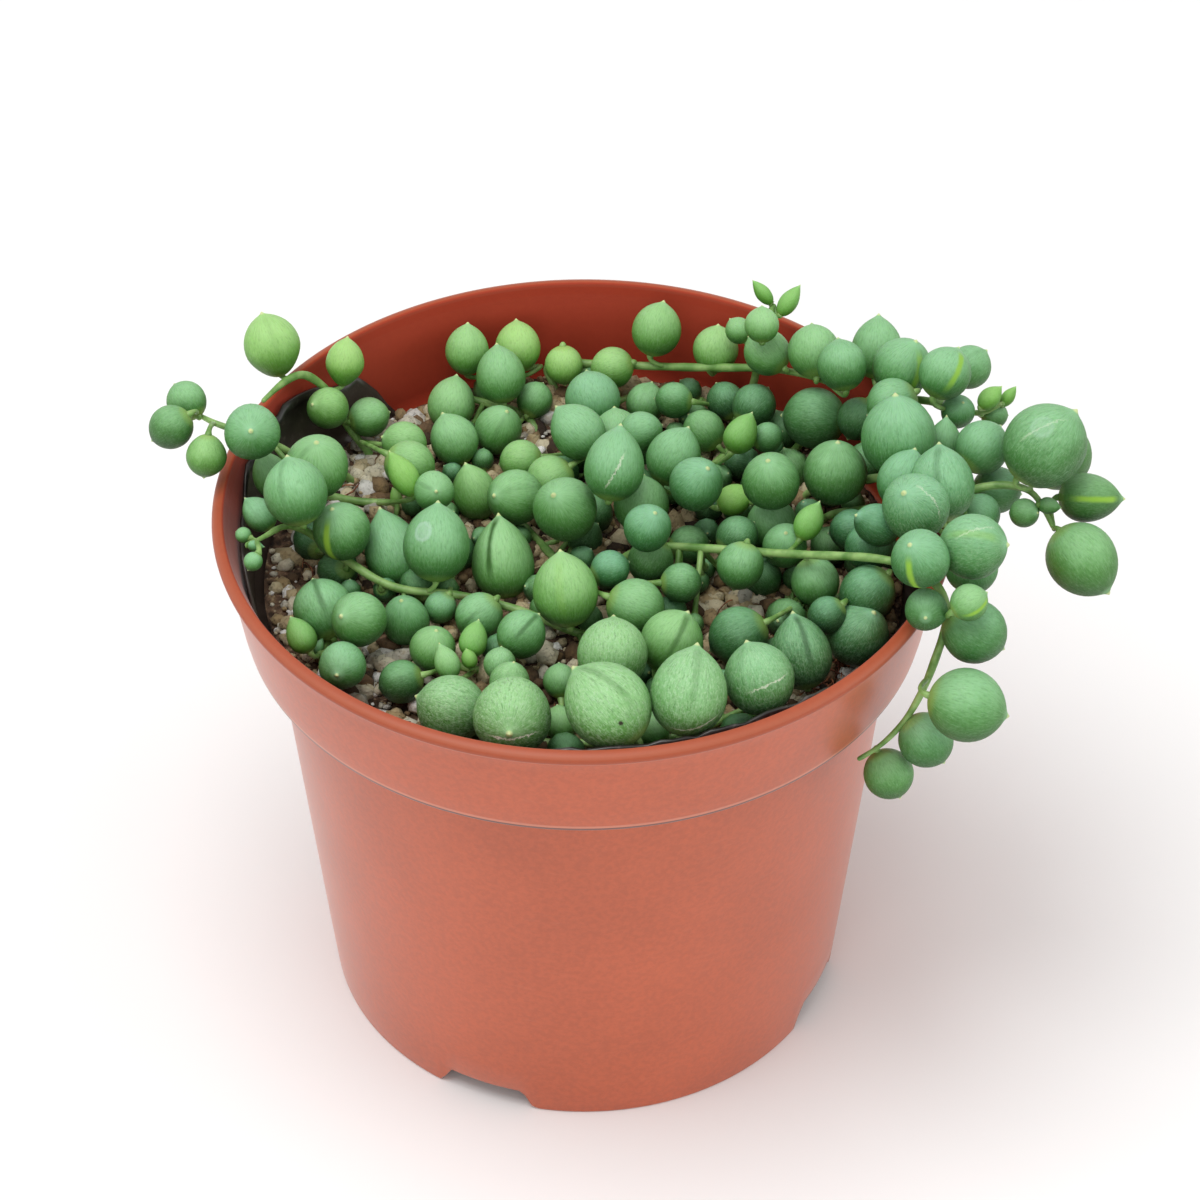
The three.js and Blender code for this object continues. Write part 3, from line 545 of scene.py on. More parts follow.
def settled_stems(stems, pearls):
    """Moves each stem's free stretch clear of pearls, soil, wall and the stems before it"""
    centres = np.array([pearl.centre for pearl in pearls])
    settled = []
    for index, stem in enumerate(stems):
        line = stem.copy()
        rooms = np.array([
            pearl.radius * STEM_IN_PEARL if pearl.strand == index
            else pearl.radius + STEM_WIDTH / 2 + CLEARANCE
            for pearl in pearls
        ])
        roots = np.concatenate([other[:ROOT_KNOTS] for other in stems if other is not stem])
        for _ in range(SETTLE_ROUNDS):
            for i in range(ROOT_KNOTS, len(line)):
                before = line[i - 1] - stem[i - 1]
                after = line[i + 1] - stem[i + 1] if i + 1 < len(line) else before
                wanted = (before + after) * FOLLOW + stem[i]
                knot = line[i] + (wanted - line[i]) * SETTLE_PULL
                gaps = np.linalg.norm(centres - knot, axis=1) - rooms
                for k in np.nonzero(gaps < SEARCH_MARGIN)[0]:
                    knot = push_clear(knot, centres[k], rooms[k])
                for other in settled:
                    place = nearest_on_line(other, knot)
                    place[2] -= STEM_WIDTH / 2
                    knot = push_clear(knot, place, STEM_WIDTH * STEM_APART + CLEARANCE)
                room = STEM_WIDTH + CLEARANCE
                gaps = np.linalg.norm(roots - knot, axis=1) - room
                for k in np.nonzero(gaps < SEARCH_MARGIN)[0]:
                    knot = push_clear(knot, roots[k], room)
                knot = push_clear(knot, nearest_wall(knot), STEM_WIDTH / 2 + CLEARANCE)
                knot[2] = max(knot[2], ground_height(knot) + STEM_WIDTH / 2 + CLEARANCE)
                line[i] = knot
        settled.append(line)
    return settled


def attachment(pearl, pearls, lines):
    """The nearest place on its stem from which a pearl's stalk runs clear of all else"""
    free = sorted(
        lines[pearl.strand][ROOT_KNOTS:], key=lambda knot: np.linalg.norm(knot - pearl.centre)
    )
    others = [line for index, line in enumerate(lines) if index != pearl.strand]
    starts = np.concatenate([line[:-1] for line in others])
    ends = np.concatenate([line[1:] for line in others])
    leaves = [other for other in pearls if other.strand != pearl.strand]
    centres = np.array([leaf.centre for leaf in leaves])
    radii = np.array([leaf.radius for leaf in leaves])
    room = STEM_WIDTH / 2 + STALK_WIDTH / 2 + CLEARANCE

    def is_clear(knot):
        for tenths in range(1, 10):
            place = knot + (pearl.centre - knot) * (tenths / 10)
            stems = nearest_on_segments(starts, ends, place)
            if np.linalg.norm(stems - place, axis=1).min() < room:
                return False
            if (np.linalg.norm(centres - place, axis=1) < radii).any():
                return False
            if np.linalg.norm(nearest_wall(place) - place) < STALK_WIDTH / 2 + CLEARANCE:
                return False
        return True

    return next((knot for knot in free if is_clear(knot)), free[0])


def grown_plant():
    """The settled stems, and the pearls of each strand with the places of their stalks"""
    stems = [stem_points(knots) for knots, _ in STRANDS.values()]
    pearls = placed_pearls(stems)
    lines = settled_stems(stems, pearls)
    for pearl in pearls:
        pearl.aim(attachment(pearl, pearls, lines))
    return lines, pearls


PLANT_LINES, PLANT_PEARLS = grown_plant()
PEARL_CENTRES = np.array([pearl.centre for pearl in PLANT_PEARLS])
PEARL_RADII = np.array([pearl.radius for pearl in PLANT_PEARLS])

# Round patches of the picture where the soil shows: x, y and half the width in pixels
BARE_PATCHES = (
    (348, 470, 58), (395, 415, 36), (540, 436, 26), (285, 585, 52), (380, 690, 62),
    (540, 652, 34), (420, 650, 16), (735, 602, 34), (790, 700, 46), (860, 665, 40),
)

# The low leaves' radii, and the rings of each kind of leaf as angles from its tip
LOW_LEAF_LARGEST = 2.6
LOW_LEAF_SMALLEST = 1.3
LEAF_RINGS = (0, 2.5, 5, 10, 18, 30, 45, 62, 80, 98, 116, 134, 152, 167, 180)
LEAF_SIDES = 14
LOW_LEAF_RINGS = (0, 4, 10, 30, 60, 90, 120, 150, 180)
LOW_LEAF_SIDES = 12
LOW_LEAF_LIFT = 0.8
LOW_LEAF_RISE = 0.4
STEM_SIDES = 8
STALK_STEPS = 6

# Shape of a leaf, in shares of its radius: the small point at its tip, the broader cusp that
# carries it, and how much a long leaf and a drop-shaped one narrow
PLAIN_RATIO = 1.05
LONG_RATIO = 1.3
NUB_HEIGHT = 0.09
NUB_WIDTH = 0.065
CUSP_WIDTH = 0.3
CUSP_LOWEST = 0.05
CUSP_TALLEST = 0.34
CUSP_SHARE = 0.7
SLIM_SHARE = 0.8
SLIMMEST = 0.5
ROUND_BODY = 1.2
DROP_NARROWING = 0.35
DROP_LENGTHENING = 0.12
LUMP = 0.025
STALK_END = 0.97

# How far round the stripe of a leaf may lie that doesn't show one in the picture, in radians
WINDOW_TURN = 4.4

# How far a leaf's tone wanders from its strand's, and from its own where it has one
STRAND_WANDER = 0.1
LEAF_WANDER = 0.04


def pixel_of(point):
    """Where a point shows in the picture"""
    ray = np.asarray(point) - EYE
    scale = FOCAL_PIXELS / float(ray @ SIGHT)
    right, up = float(ray @ SIGHT_RIGHT), float(ray @ SIGHT_UP)
    return MIDDLE_PIXEL + right * scale, MIDDLE_PIXEL - up * scale


def in_bare_patch(point):
    """Whether a point shows where the picture has bare soil"""
    x, y = pixel_of(point)
    return any(math.hypot(x - a, y - b) < size for a, b, size in BARE_PATCHES)


# Meshes


def settings(context):
    """The sizes and colours that the panel shows"""
    return context.scene.potted_pearls


def mesh_from(bm, name):
    """Turns a bmesh into a mesh, and frees it"""
    mesh = bpy.data.meshes.new(name)
    bm.to_mesh(mesh)
    bm.free()
    return mesh


def add_object(name, data):
    """Puts a mesh, light or camera into the scene"""
    added = bpy.data.objects.new(name, data)
    bpy.context.scene.collection.objects.link(added)
    return added


def into_part_frame(bm):
    """Moves a mesh from the pot's frame, in millimetres, into the part's frame, in metres"""
    bmesh.ops.scale(bm, vec=(MM, MM, MM), verts=bm.verts)
    bmesh.ops.translate(bm, vec=(AXIS_X, AXIS_Y, 0), verts=bm.verts)


def new_mesh_piece(name, bm, materials, node=None, levels=0):
    """Makes a finished mesh a piece that rides on the part, and replaces a node if one is named"""
    into_part_frame(bm)
    for face in bm.faces:
        face.smooth = True
    piece = add_object(name, mesh_from(bm, name))
    for material in materials:
        piece.data.materials.append(material)
    if levels:
        rounding = piece.modifiers.new("rounding", "SUBSURF")
        rounding.levels = rounding.render_levels = levels
    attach(piece, "root")
    if node:
        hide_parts(node)
    return piece


def turned(profile, steps):
    """A profile of (radius, height) points spun about the pot's axis"""
    bm = bmesh.new()
    points = [bm.verts.new((radius, 0, height)) for radius, height in profile]
    edges = [bm.edges.new(pair) for pair in zip(points, points[1:])]
    bmesh.ops.spin(
        bm, geom=points + edges, cent=(0, 0, 0), axis=(0, 0, 1),
        angle=2 * math.pi, steps=steps, use_merge=True,
    )
    bmesh.ops.remove_doubles(bm, verts=bm.verts, dist=1e-4)
    bmesh.ops.recalc_face_normals(bm, faces=bm.faces)
    return bm


def arc(centre, radius, start, end, count):
    """Profile points on an arc about a (radius, height) centre, in degrees"""
    angles = [math.radians(start + (end - start) * i / count) for i in range(count + 1)]
    return [(centre[0] + radius * math.cos(a), centre[1] + radius * math.sin(a)) for a in angles]


def smoothstep(low, high, value):
    """Rises smoothly from 0 to 1 between two values"""
    share = min(1, max(0, (value - low) / (high - low)))
    return share * share * (3 - 2 * share)


def sweep(points, radii, sides):
    """A round stem through the points, closed at both ends, as a temporary mesh"""
    bm = bmesh.new()
    points = [Vector(point) for point in points]
    run = points[1] - points[0]
    side = run.orthogonal().normalized()
    bmesh.ops.create_circle(bm, cap_ends=True, segments=sides, radius=1)
    ring = list(bm.edges)
    for face in bm.faces:
        face.normal_flip()
    last = Matrix.Identity(4)
    for i, point in enumerate(points):
        run = points[min(i + 1, len(points) - 1)] - points[max(i - 1, 0)]
        run.normalize()
        side = (side - run * side.dot(run)).normalized()
        across = run.cross(side)
        turn = Matrix((side * radii[i], across * radii[i], run * radii[i])).transposed().to_4x4()
        place = Matrix.Translation(point) @ turn
        if i:
            grown = bmesh.ops.extrude_edge_only(bm, edges=ring)["geom"]
            ring = [item for item in grown if isinstance(item, bmesh.types.BMEdge)
                    and item.is_boundary]
            verts = [item for item in grown if isinstance(item, bmesh.types.BMVert)]
        else:
            verts = list(bm.verts)
        bmesh.ops.transform(bm, matrix=place @ last.inverted(), verts=verts)
        last = place
    bmesh.ops.holes_fill(bm, edges=ring, sides=sides)
    bmesh.ops.recalc_face_normals(bm, faces=bm.faces)
    return mesh_from(bm, "sweep")


def add_mesh(bm, mesh, index, keep=False):
    """Adds a temporary mesh to a piece with one material, and returns its new vertices"""
    verts_before, faces_before = len(bm.verts), len(bm.faces)
    bm.from_mesh(mesh)
    bm.verts.ensure_lookup_table()
    bm.faces.ensure_lookup_table()
    for face in bm.faces[faces_before:]:
        face.material_index = index
    if not keep:
        bpy.data.meshes.remove(mesh)
    return bm.verts[verts_before:]


# Materials


class Number:
    """A value in a material, which Python's operators work on through Math nodes"""

    def __init__(self, paint, socket):
        self.paint = paint
        self.socket = socket

    def _math(self, operation, *values):
        sockets = dict(enumerate(values))
        node = self.paint.node("ShaderNodeMath", {"operation": operation}, sockets)
        return Number(self.paint, node.outputs[0])

    def __add__(self, other):
        return self._math("ADD", self, other)

    __radd__ = __add__

    def __sub__(self, other):
        return self._math("SUBTRACT", self, other)

    def __rsub__(self, other):
        return self._math("SUBTRACT", other, self)

    def __mul__(self, other):
        return self._math("MULTIPLY", self, other)

    __rmul__ = __mul__

    def __truediv__(self, other):
        return self._math("DIVIDE", self, other)

    def __abs__(self):
        return self._math("ABSOLUTE", self)

    def between(self, low, high):
        """Rises smoothly from 0 to 1 between two values"""
        node = self.paint.node(
            "ShaderNodeMapRange", {"interpolation_type": "SMOOTHSTEP"},
            {"Value": self, "From Min": low, "From Max": high},
        )
        return Number(self.paint, node.outputs["Result"])


class Paint:
    """The node tree of one material"""

    def __init__(self, name):
        self.material = bpy.data.materials.new(name)
        self.material.use_nodes = True
        self.tree = self.material.node_tree
        self.tree.nodes.clear()

    def node(self, kind, options, inputs):
        """A node of a type, with its settings first and then the values or links of its sockets"""
        node = self.tree.nodes.new(kind)
        for name, value in options.items():
            if name == "stops":
                ramp = node.color_ramp
                while len(ramp.elements) < len(value):
                    ramp.elements.new(0.5)
                for element, (position, color) in zip(ramp.elements, value):
                    element.position = position
                    element.color = color
            else:
                setattr(node, name, value)
        for key, value in inputs.items():
            socket = node.inputs[key]
            link = value.socket if isinstance(value, Number) else value
            if isinstance(link, bpy.types.NodeSocket):
                self.tree.links.new(link, socket)
            else:
                socket.default_value = value
        return node

    def object_place(self):
        return self.node("ShaderNodeTexCoord", {}, {}).outputs["Object"]

    def attribute(self, name):
        return self.node("ShaderNodeAttribute", {"attribute_name": name}, {})

    def parts(self, vector):
        node = self.node("ShaderNodeSeparateXYZ", {}, {"Vector": vector})
        return [Number(self, socket) for socket in node.outputs]

    def join(self, x, y, z):
        return self.node("ShaderNodeCombineXYZ", {}, {"X": x, "Y": y, "Z": z}).outputs[0]

    def vector(self, operation, a, b=(0, 0, 0)):
        node = self.node("ShaderNodeVectorMath", {"operation": operation}, {0: a, 1: b})
        return node.outputs[0]

    def dot(self, a, b):
        node = self.node("ShaderNodeVectorMath", {"operation": "DOT_PRODUCT"}, {0: a, 1: b})
        return Number(self, node.outputs["Value"])

    def length(self, vector):
        node = self.node("ShaderNodeVectorMath", {"operation": "LENGTH"}, {0: vector})
        return Number(self, node.outputs["Value"])

    def noise(self, vector, scale, detail=2.0, roughness=0.5):
        node = self.node(
            "ShaderNodeTexNoise", {},
            {"Vector": vector, "Scale": scale, "Detail": detail, "Roughness": roughness},
        )
        return Number(self, node.outputs["Fac"])

    def cells(self, vector, scale, feature="F1"):
        node = self.node(
            "ShaderNodeTexVoronoi", {"feature": feature}, {"Vector": vector, "Scale": scale}
        )
        return Number(self, node.outputs["Distance"])

    def mix(self, a, b, factor):
        """Goes from colour a to colour b as the factor goes from 0 to 1"""
        node = self.node("ShaderNodeMix", {"data_type": "RGBA"}, {0: factor, 6: a, 7: b})
        return node.outputs[2]

    def ramp(self, factor, *stops):
        return self.node("ShaderNodeValToRGB", {"stops": stops}, {"Fac": factor}).outputs["Color"]

    def bump(self, height, strength, distance):
        node = self.node(
            "ShaderNodeBump", {}, {"Height": height, "Strength": strength, "Distance": distance}
        )
        return node.outputs["Normal"]

    def finish(self, inputs):
        shader = self.node("ShaderNodeBsdfPrincipled", {}, inputs)
        self.node("ShaderNodeOutputMaterial", {}, {"Surface": shader.outputs["BSDF"]})
        return self.material


def shade(code):
    """A colour from its red, green and blue as two hexadecimal digits each"""
    levels = [int(code[i:i + 2], 16) / 255 for i in (0, 2, 4)]
    linear = [c / 12.92 if c <= 0.04045 else ((c + 0.055) / 1.055) ** 2.4 for c in levels]
    return (*linear, 1.0)


def pot_plastic(color):
    """Terracotta-coloured plastic: mottled, with a satin sheen, and with painted light and shade at
    the collar, the lip and the inner wall
    """
    paint = Paint("pot_plastic")
    place = paint.object_place()
    across, deep, height = [part / MM for part in paint.parts(place)]
    reach = paint.length(paint.join(across - AXIS_X / MM, deep - AXIS_Y / MM, 0.0))
    cloud = paint.noise(place, 60, 4)
    speck = paint.noise(place, 1400, 3, 0.6)
    scuff = paint.noise(paint.vector("MULTIPLY", place, (1.0, 1.0, 9.0)), 160, 4, 0.65)
    paler = tuple(min(1, c * 1.1 + 0.008) for c in color[:3]) + (1.0,)
    deeper = tuple(c * 0.86 for c in color[:3]) + (1.0,)
    base = paint.mix(deeper, paler, cloud.between(0.3, 0.7) * 0.4 + speck.between(0.3, 0.7) * 0.6)
    base = paint.mix(base, shade("c9866a"), scuff.between(0.6, 0.8) * 0.12)
    edge = height.between(COLLAR_LOW_HEIGHT - 0.4, COLLAR_LOW_HEIGHT)
    # Painted shadow: a dark band over the underside and lower rounding of the collar
    dust_and_painted_shade = edge * (1 - height.between(COLLAR_LOW_HEIGHT + 0.5, COLLAR_LOW_HEIGHT + 0.64))
    # Painted highlight: a paler band on the collar wall just above the painted shadow
    painted_edge_highlight = edge * (1 - height.between(COLLAR_LOW_HEIGHT + 0.85, COLLAR_LOW_HEIGHT + 1.1))
    base = paint.mix(base, shade("d58f76"), painted_edge_highlight * 0.5)
    base = paint.mix(base, shade("4a2c25"), dust_and_painted_shade * 0.85)
    # Painted highlight: a paler band along the top of the lip
    lip_highlight_height = POT_HEIGHT - 0.7
    lip = height.between(lip_highlight_height, lip_highlight_height + 0.2) * (1 - height.between(lip_highlight_height + 0.35, lip_highlight_height + 0.6))
    base = paint.mix(base, shade("cf8a6c"), lip * 0.4)
    flare = (COLLAR_TOP_RADIUS - COLLAR_LOW_RADIUS) / (LIP_LOW - COLLAR_LOW_HEIGHT)
    wall_middle = COLLAR_LOW_RADIUS - WALL / 2
    straight_reach = reach - (height - COLLAR_LOW_HEIGHT) * flare
    inside = 1 - straight_reach.between(wall_middle, wall_middle + 0.3)
    inside = inside * height.between(COLLAR_LOW_HEIGHT + 1, COLLAR_LOW_HEIGHT + 2)
    rim = height.between(LIP_LOW, LIP_LOW + 0.4)
    # Painted shade: the inner wall of the collar is painted a deeper, darker red than the outside
    base = paint.mix(base, shade("a42c16"), inside * 0.8)
    # Painted shade: the lip is painted a darker, redder orange than the body
    base = paint.mix(base, shade("9a4527"), rim * (1 - inside) * 0.65)
    grain = paint.bump(speck + cloud * 0.5, 0.1, 0.0002)
    return paint.finish({
        "Base Color": base,
        "Roughness": 0.36 + speck * 0.12 + inside * 0.3 + rim * 0.16,
        "Normal": grain,
        "IOR": 1.5,
        "Coat Weight": (1 - inside) * (1 - rim * 0.8) * 0.4,
        "Coat Roughness": 0.3,
        "Sheen Weight": 0.22,
        "Sheen Roughness": 0.35,
    })


def liner_plastic():
    """Thin black plastic with dust and creases"""
    paint = Paint("liner_plastic")
    place = paint.object_place()
    dust_and_painted_shade = paint.noise(place, 900, 5, 0.7)
    crease = paint.noise(place, 110, 3)
    film = paint.noise(place, 45, 3, 0.6)
    base = paint.mix(shade("1b1715"), shade("6f6861"), film.between(0.4, 0.7) * 0.35)
    base = paint.mix(base, shade("9a9188"), dust_and_painted_shade.between(0.5, 0.85) * 0.4)
    height = paint.parts(place)[2] / MM
    earth = 1 - height.between(SOIL_EDGE_HEIGHT, SOIL_EDGE_HEIGHT + 9)
    base = paint.mix(base, shade("3d2a1e"), earth * 0.7)
    return paint.finish({
        "Base Color": base,
        "Roughness": 0.27 + dust_and_painted_shade * 0.25 + earth * 0.3,
        "Normal": paint.bump(crease, 0.5, 0.001),
        "Coat Weight": 0.4,
        "Coat Roughness": 0.2,
    })


def soil_mix():
    """Fine soil between the grains: dark earth with tan and cream crumbs"""
    paint = Paint("soil_mix")
    place = paint.object_place()
    clods = paint.noise(place, 260, 6, 0.7)
    crumbs = paint.cells(place, 900)
    grains = paint.cells(place, 1500)
    base = paint.ramp(
        clods * 0.75 + crumbs * 0.35,
        (0.22, shade("1a110a")), (0.45, shade("3c2a1c")), (0.62, shade("6e5440")),
        (0.8, shade("a08867")),
    )
    light = (1 - grains.between(0.12, 0.34)) * clods.between(0.42, 0.6)
    base = paint.mix(base, shade("c8b595"), light * 0.7)
    return paint.finish({
        "Base Color": base,
        "Roughness": 0.93,
        "Normal": paint.bump(clods + crumbs * 0.5 - grains * 0.6, 0.9, 0.0008),
    })


def grit_stone():
    """Mineral grains, from white and cream to tan and brown, each with its own tone"""
    paint = Paint("grit_stone")
    place = paint.object_place()
    tone = Number(paint, paint.attribute("grain_tone").outputs["Fac"])
    pores = paint.noise(place, 1800, 4, 0.7)
    cloud = paint.noise(place, 520, 3, 0.6)
    base = paint.ramp(
        tone,
        (0.0, shade("33251a")), (0.12, shade("6f563c")), (0.28, shade("a89169")),
        (0.48, shade("c9ba95")), (0.7, shade("dfd8c0")), (0.85, shade("aeaa9e")),
        (1.0, shade("f4f2ec")),
    )
    stained = paint.mix(base, shade("8f7448"), cloud.between(0.5, 0.7) * 0.5)
    dirt = paint.mix(stained, shade("33281b"), pores.between(0.5, 0.74) * 0.7)
    return paint.finish({
        "Base Color": dirt,
        "Roughness": 0.88,
        "Normal": paint.bump(pores + cloud, 0.8, 0.0004),
    })


def coir_fibre():
    """Reddish-brown coconut fibre"""
    paint = Paint("coir_fibre")
    streak = paint.noise(paint.object_place(), 700, 2)
    base = paint.mix(shade("5a2c19"), shade("b0714a"), streak.between(0.35, 0.7))
    return paint.finish({"Base Color": base, "Roughness": 0.8})


def pearl_skin():
    """Waxy leaf skin: fine streaks from the tip, a painted highlight on the upper sides and painted
    shade on the lower, a window stripe and scars
    """
    paint = Paint("pearl_skin")
    place = paint.attribute("pearl_place").outputs["Vector"]
    yellow, light, seed = paint.parts(paint.attribute("pearl_tone").outputs["Vector"])
    window = Number(paint, paint.attribute("pearl_window").outputs["Fac"])
    x, y, z = paint.parts(place)
    radial = paint.vector("NORMALIZE", paint.join(x, y, 0.0))
    spread = paint.vector("MULTIPLY", radial, (8.0, 8.0, 8.0))
    streak_place = paint.vector("ADD", spread, paint.join(seed * 37, seed * 11, z * 2.2))
    streak = paint.noise(streak_place, 2.4, 3, 0.7)
    veins = 1 - paint.cells(streak_place, 3.1, "DISTANCE_TO_EDGE").between(0.0, 0.2)
    own_place = paint.vector("ADD", place, paint.join(seed * 91, seed * 47, seed * 23))
    cloud = paint.noise(own_place, 1.4, 3)
    fleck = paint.noise(own_place, 30, 3, 0.6)
    grain = paint.noise(own_place, 11, 3, 0.65)
    net = 1 - paint.cells(own_place, 15, "DISTANCE_TO_EDGE").between(0.0, 0.16)
    normal = paint.node("ShaderNodeNewGeometry", {}, {}).outputs["Normal"]
    up = paint.parts(normal)[2]

    deep = paint.mix(shade("1d4c22"), shade("426e1d"), yellow)
    # Painted shade: leaves given little lightness get a darker deep green
    deep = paint.mix(shade("113116"), deep, light.between(-0.1, 0.35))
    green = paint.mix(shade("44894a"), shade("74af40"), yellow)
    pale = paint.mix(shade("90c8a4"), shade("b2dc88"), yellow)
    # Painted light and shade: sides facing up lean to the green, sides facing down to the deep
    # green
    skin = paint.mix(deep, green, (light * 0.8 + cloud * 0.3 + up * 0.45).between(0.0, 1.05))
    # Painted highlight: upper sides, and lighter leaves more, are paled towards a bluish pale green
    painted_top_highlight = (up * 0.75 + light * 0.6 + cloud * 0.35 + streak * 0.2).between(0.6, 1.5)
    skin = paint.mix(skin, pale, painted_top_highlight * 0.8)
    # Painted shade: sides facing down are darkened further
    skin = paint.mix(skin, shade("123f14"), (1 - up.between(-0.8, 0.3)) * 0.5)
    vein_mark, fresh, _ = paint.parts(paint.attribute("pearl_finish").outputs["Vector"])
    marked = 0.1 + vein_mark * 0.2
    skin = paint.mix(skin, pale, streak.between(0.5, 0.68) * marked)
    skin = paint.mix(skin, deep, (1 - streak).between(0.5, 0.68) * (0.1 + marked))
    skin = paint.mix(skin, shade("67ae2c"), fresh * 0.4)
    crackle = (veins * 0.7 + net * 0.3) * grain.between(0.36, 0.6)
    skin = paint.mix(skin, shade("c3dfba"), crackle * vein_mark * 0.45)
    skin = paint.mix(skin, shade("e4edc8"), fleck.between(0.66, 0.8) * 0.35)

    side = x.between(0.0, 0.2)
    width = abs(y) + (cloud - 0.5) * 0.12
    stripe = side * (1 - width.between(0.03, 0.17)) * z.between(-0.85, -0.1)
    lit = window.between(0.0, 1.0)
    skin = paint.mix(skin, shade("8fbe3f"), stripe * (1 - z.between(0.75, 0.98)) * lit)
    furrow = side * (1 - width.between(0.02, 0.16)) * z.between(-0.7, 0.2)
    skin = paint.mix(skin, deep, furrow * (0 - window).between(0.0, 1.0))

    base_end = 1 - z.between(-1.0, -0.75)
    skin = paint.mix(skin, shade("94b455"), base_end * 0.6)
    skin = paint.mix(skin, pale, z.between(0.93, 0.997) * 0.4)
    skin = paint.mix(skin, shade("d5dfa0"), z.between(0.995, 0.9987) * 0.9)

    scar = paint.attribute("pearl_scar").outputs["Vector"]
    ring_mark, speck_mark, cork_mark = paint.parts(paint.attribute("pearl_marks").outputs["Vector"])
    away = paint.length(paint.vector("SUBTRACT", place, scar)) + (grain - 0.5) * 0.1
    ring = away.between(0.15, 0.23) * (1 - away.between(0.25, 0.33))
    ring = ring * 0.7 + (1 - away.between(0.1, 0.32)) * 0.55
    skin = paint.mix(skin, shade("b4d3bf"), ring * ring_mark * 0.6)
    skin = paint.mix(skin, shade("2c2a18"), (1 - away.between(0.03, 0.08)) * speck_mark)
    across = paint.attribute("pearl_crack").outputs["Vector"]
    aside = abs(paint.dot(place, across) + (grain - 0.5) * 0.2 + (cloud - 0.5) * 0.25)
    crack = (1 - aside.between(0.008, 0.035)) * (1 - away.between(0.4, 0.75))
    skin = paint.mix(skin, shade("e6e8d4"), crack * cork_mark * fleck.between(0.3, 0.45))

    relief = streak * 0.8 + grain * 0.35 + fleck * 0.1 + crackle * vein_mark * 0.4
    return paint.finish({
        "Base Color": skin,
        "Roughness": 0.36 + grain * 0.22,
        "Normal": paint.bump(relief, 0.32, 0.0004),
        "Subsurface Weight": 0.15,
        "Subsurface Radius": (0.4, 1.0, 0.15),
        "Subsurface Scale": 0.001,
        "IOR": 1.42,
        "Specular IOR Level": 0.4,
    })


def stem_skin():
    """Pale green stems with lengthwise streaks and a few brown scars"""
    paint = Paint("stem_skin")
    place = paint.object_place()
    streak = paint.noise(place, 420, 3)
    scar = paint.noise(place, 170, 4, 0.7)
    base = paint.mix(shade("5c883c"), shade("98bb70"), streak.between(0.3, 0.7))
    base = paint.mix(base, shade("6b5236"), scar.between(0.62, 0.76) * 0.7)
    return paint.finish({
        "Base Color": base,
        "Roughness": 0.48,
        "Normal": paint.bump(streak, 0.15, 0.0003),
        "Subsurface Weight": 0.2,
        "Subsurface Radius": (0.4, 1.0, 0.3),
        "Subsurface Scale": 0.001,
    })


def studio_floor():
    """A pale matt floor"""
    paint = Paint("studio_floor")
    cloud = paint.noise(paint.object_place(), 3, 2)
    base = paint.mix(shade("f4f4f3"), shade("fafafa"), cloud)
    return paint.finish({"Base Color": base, "Roughness": 0.9})


# Pieces


class PearlSettings(bpy.types.PropertyGroup):
    """Sizes and colours that can be changed before the pieces are made"""

    pot_color: FloatVectorProperty(
        name="Pot Color", description="Colour of the plastic pot", subtype="COLOR",
        size=4, min=0, max=1, default=shade("b94e1c"),
    )
    grain_count: IntProperty(
        name="Grains", description="How many mineral grains lie on the soil", default=5200, min=0
    )
    grain_size: FloatProperty(
        name="Grain Size", description="Half the width of a middling grain, in millimetres",
        default=0.62, min=0.1,
    )
    fibre_count: IntProperty(
        name="Fibres", description="How many coconut fibres lie on the soil", default=170, min=0
    )
    low_leaf_tries: IntProperty(
        name="Low Leaf Tries", description="How many places are tried for the low leaves",
        default=700, min=0,
    )
    light_power: FloatProperty(
        name="Main Light", description="Power of the large soft light", default=5.4,
        unit="POWER", min=0,
    )
    surround: FloatProperty(
        name="Surround", description="Brightness of the white surroundings", default=0.62, min=0
    )


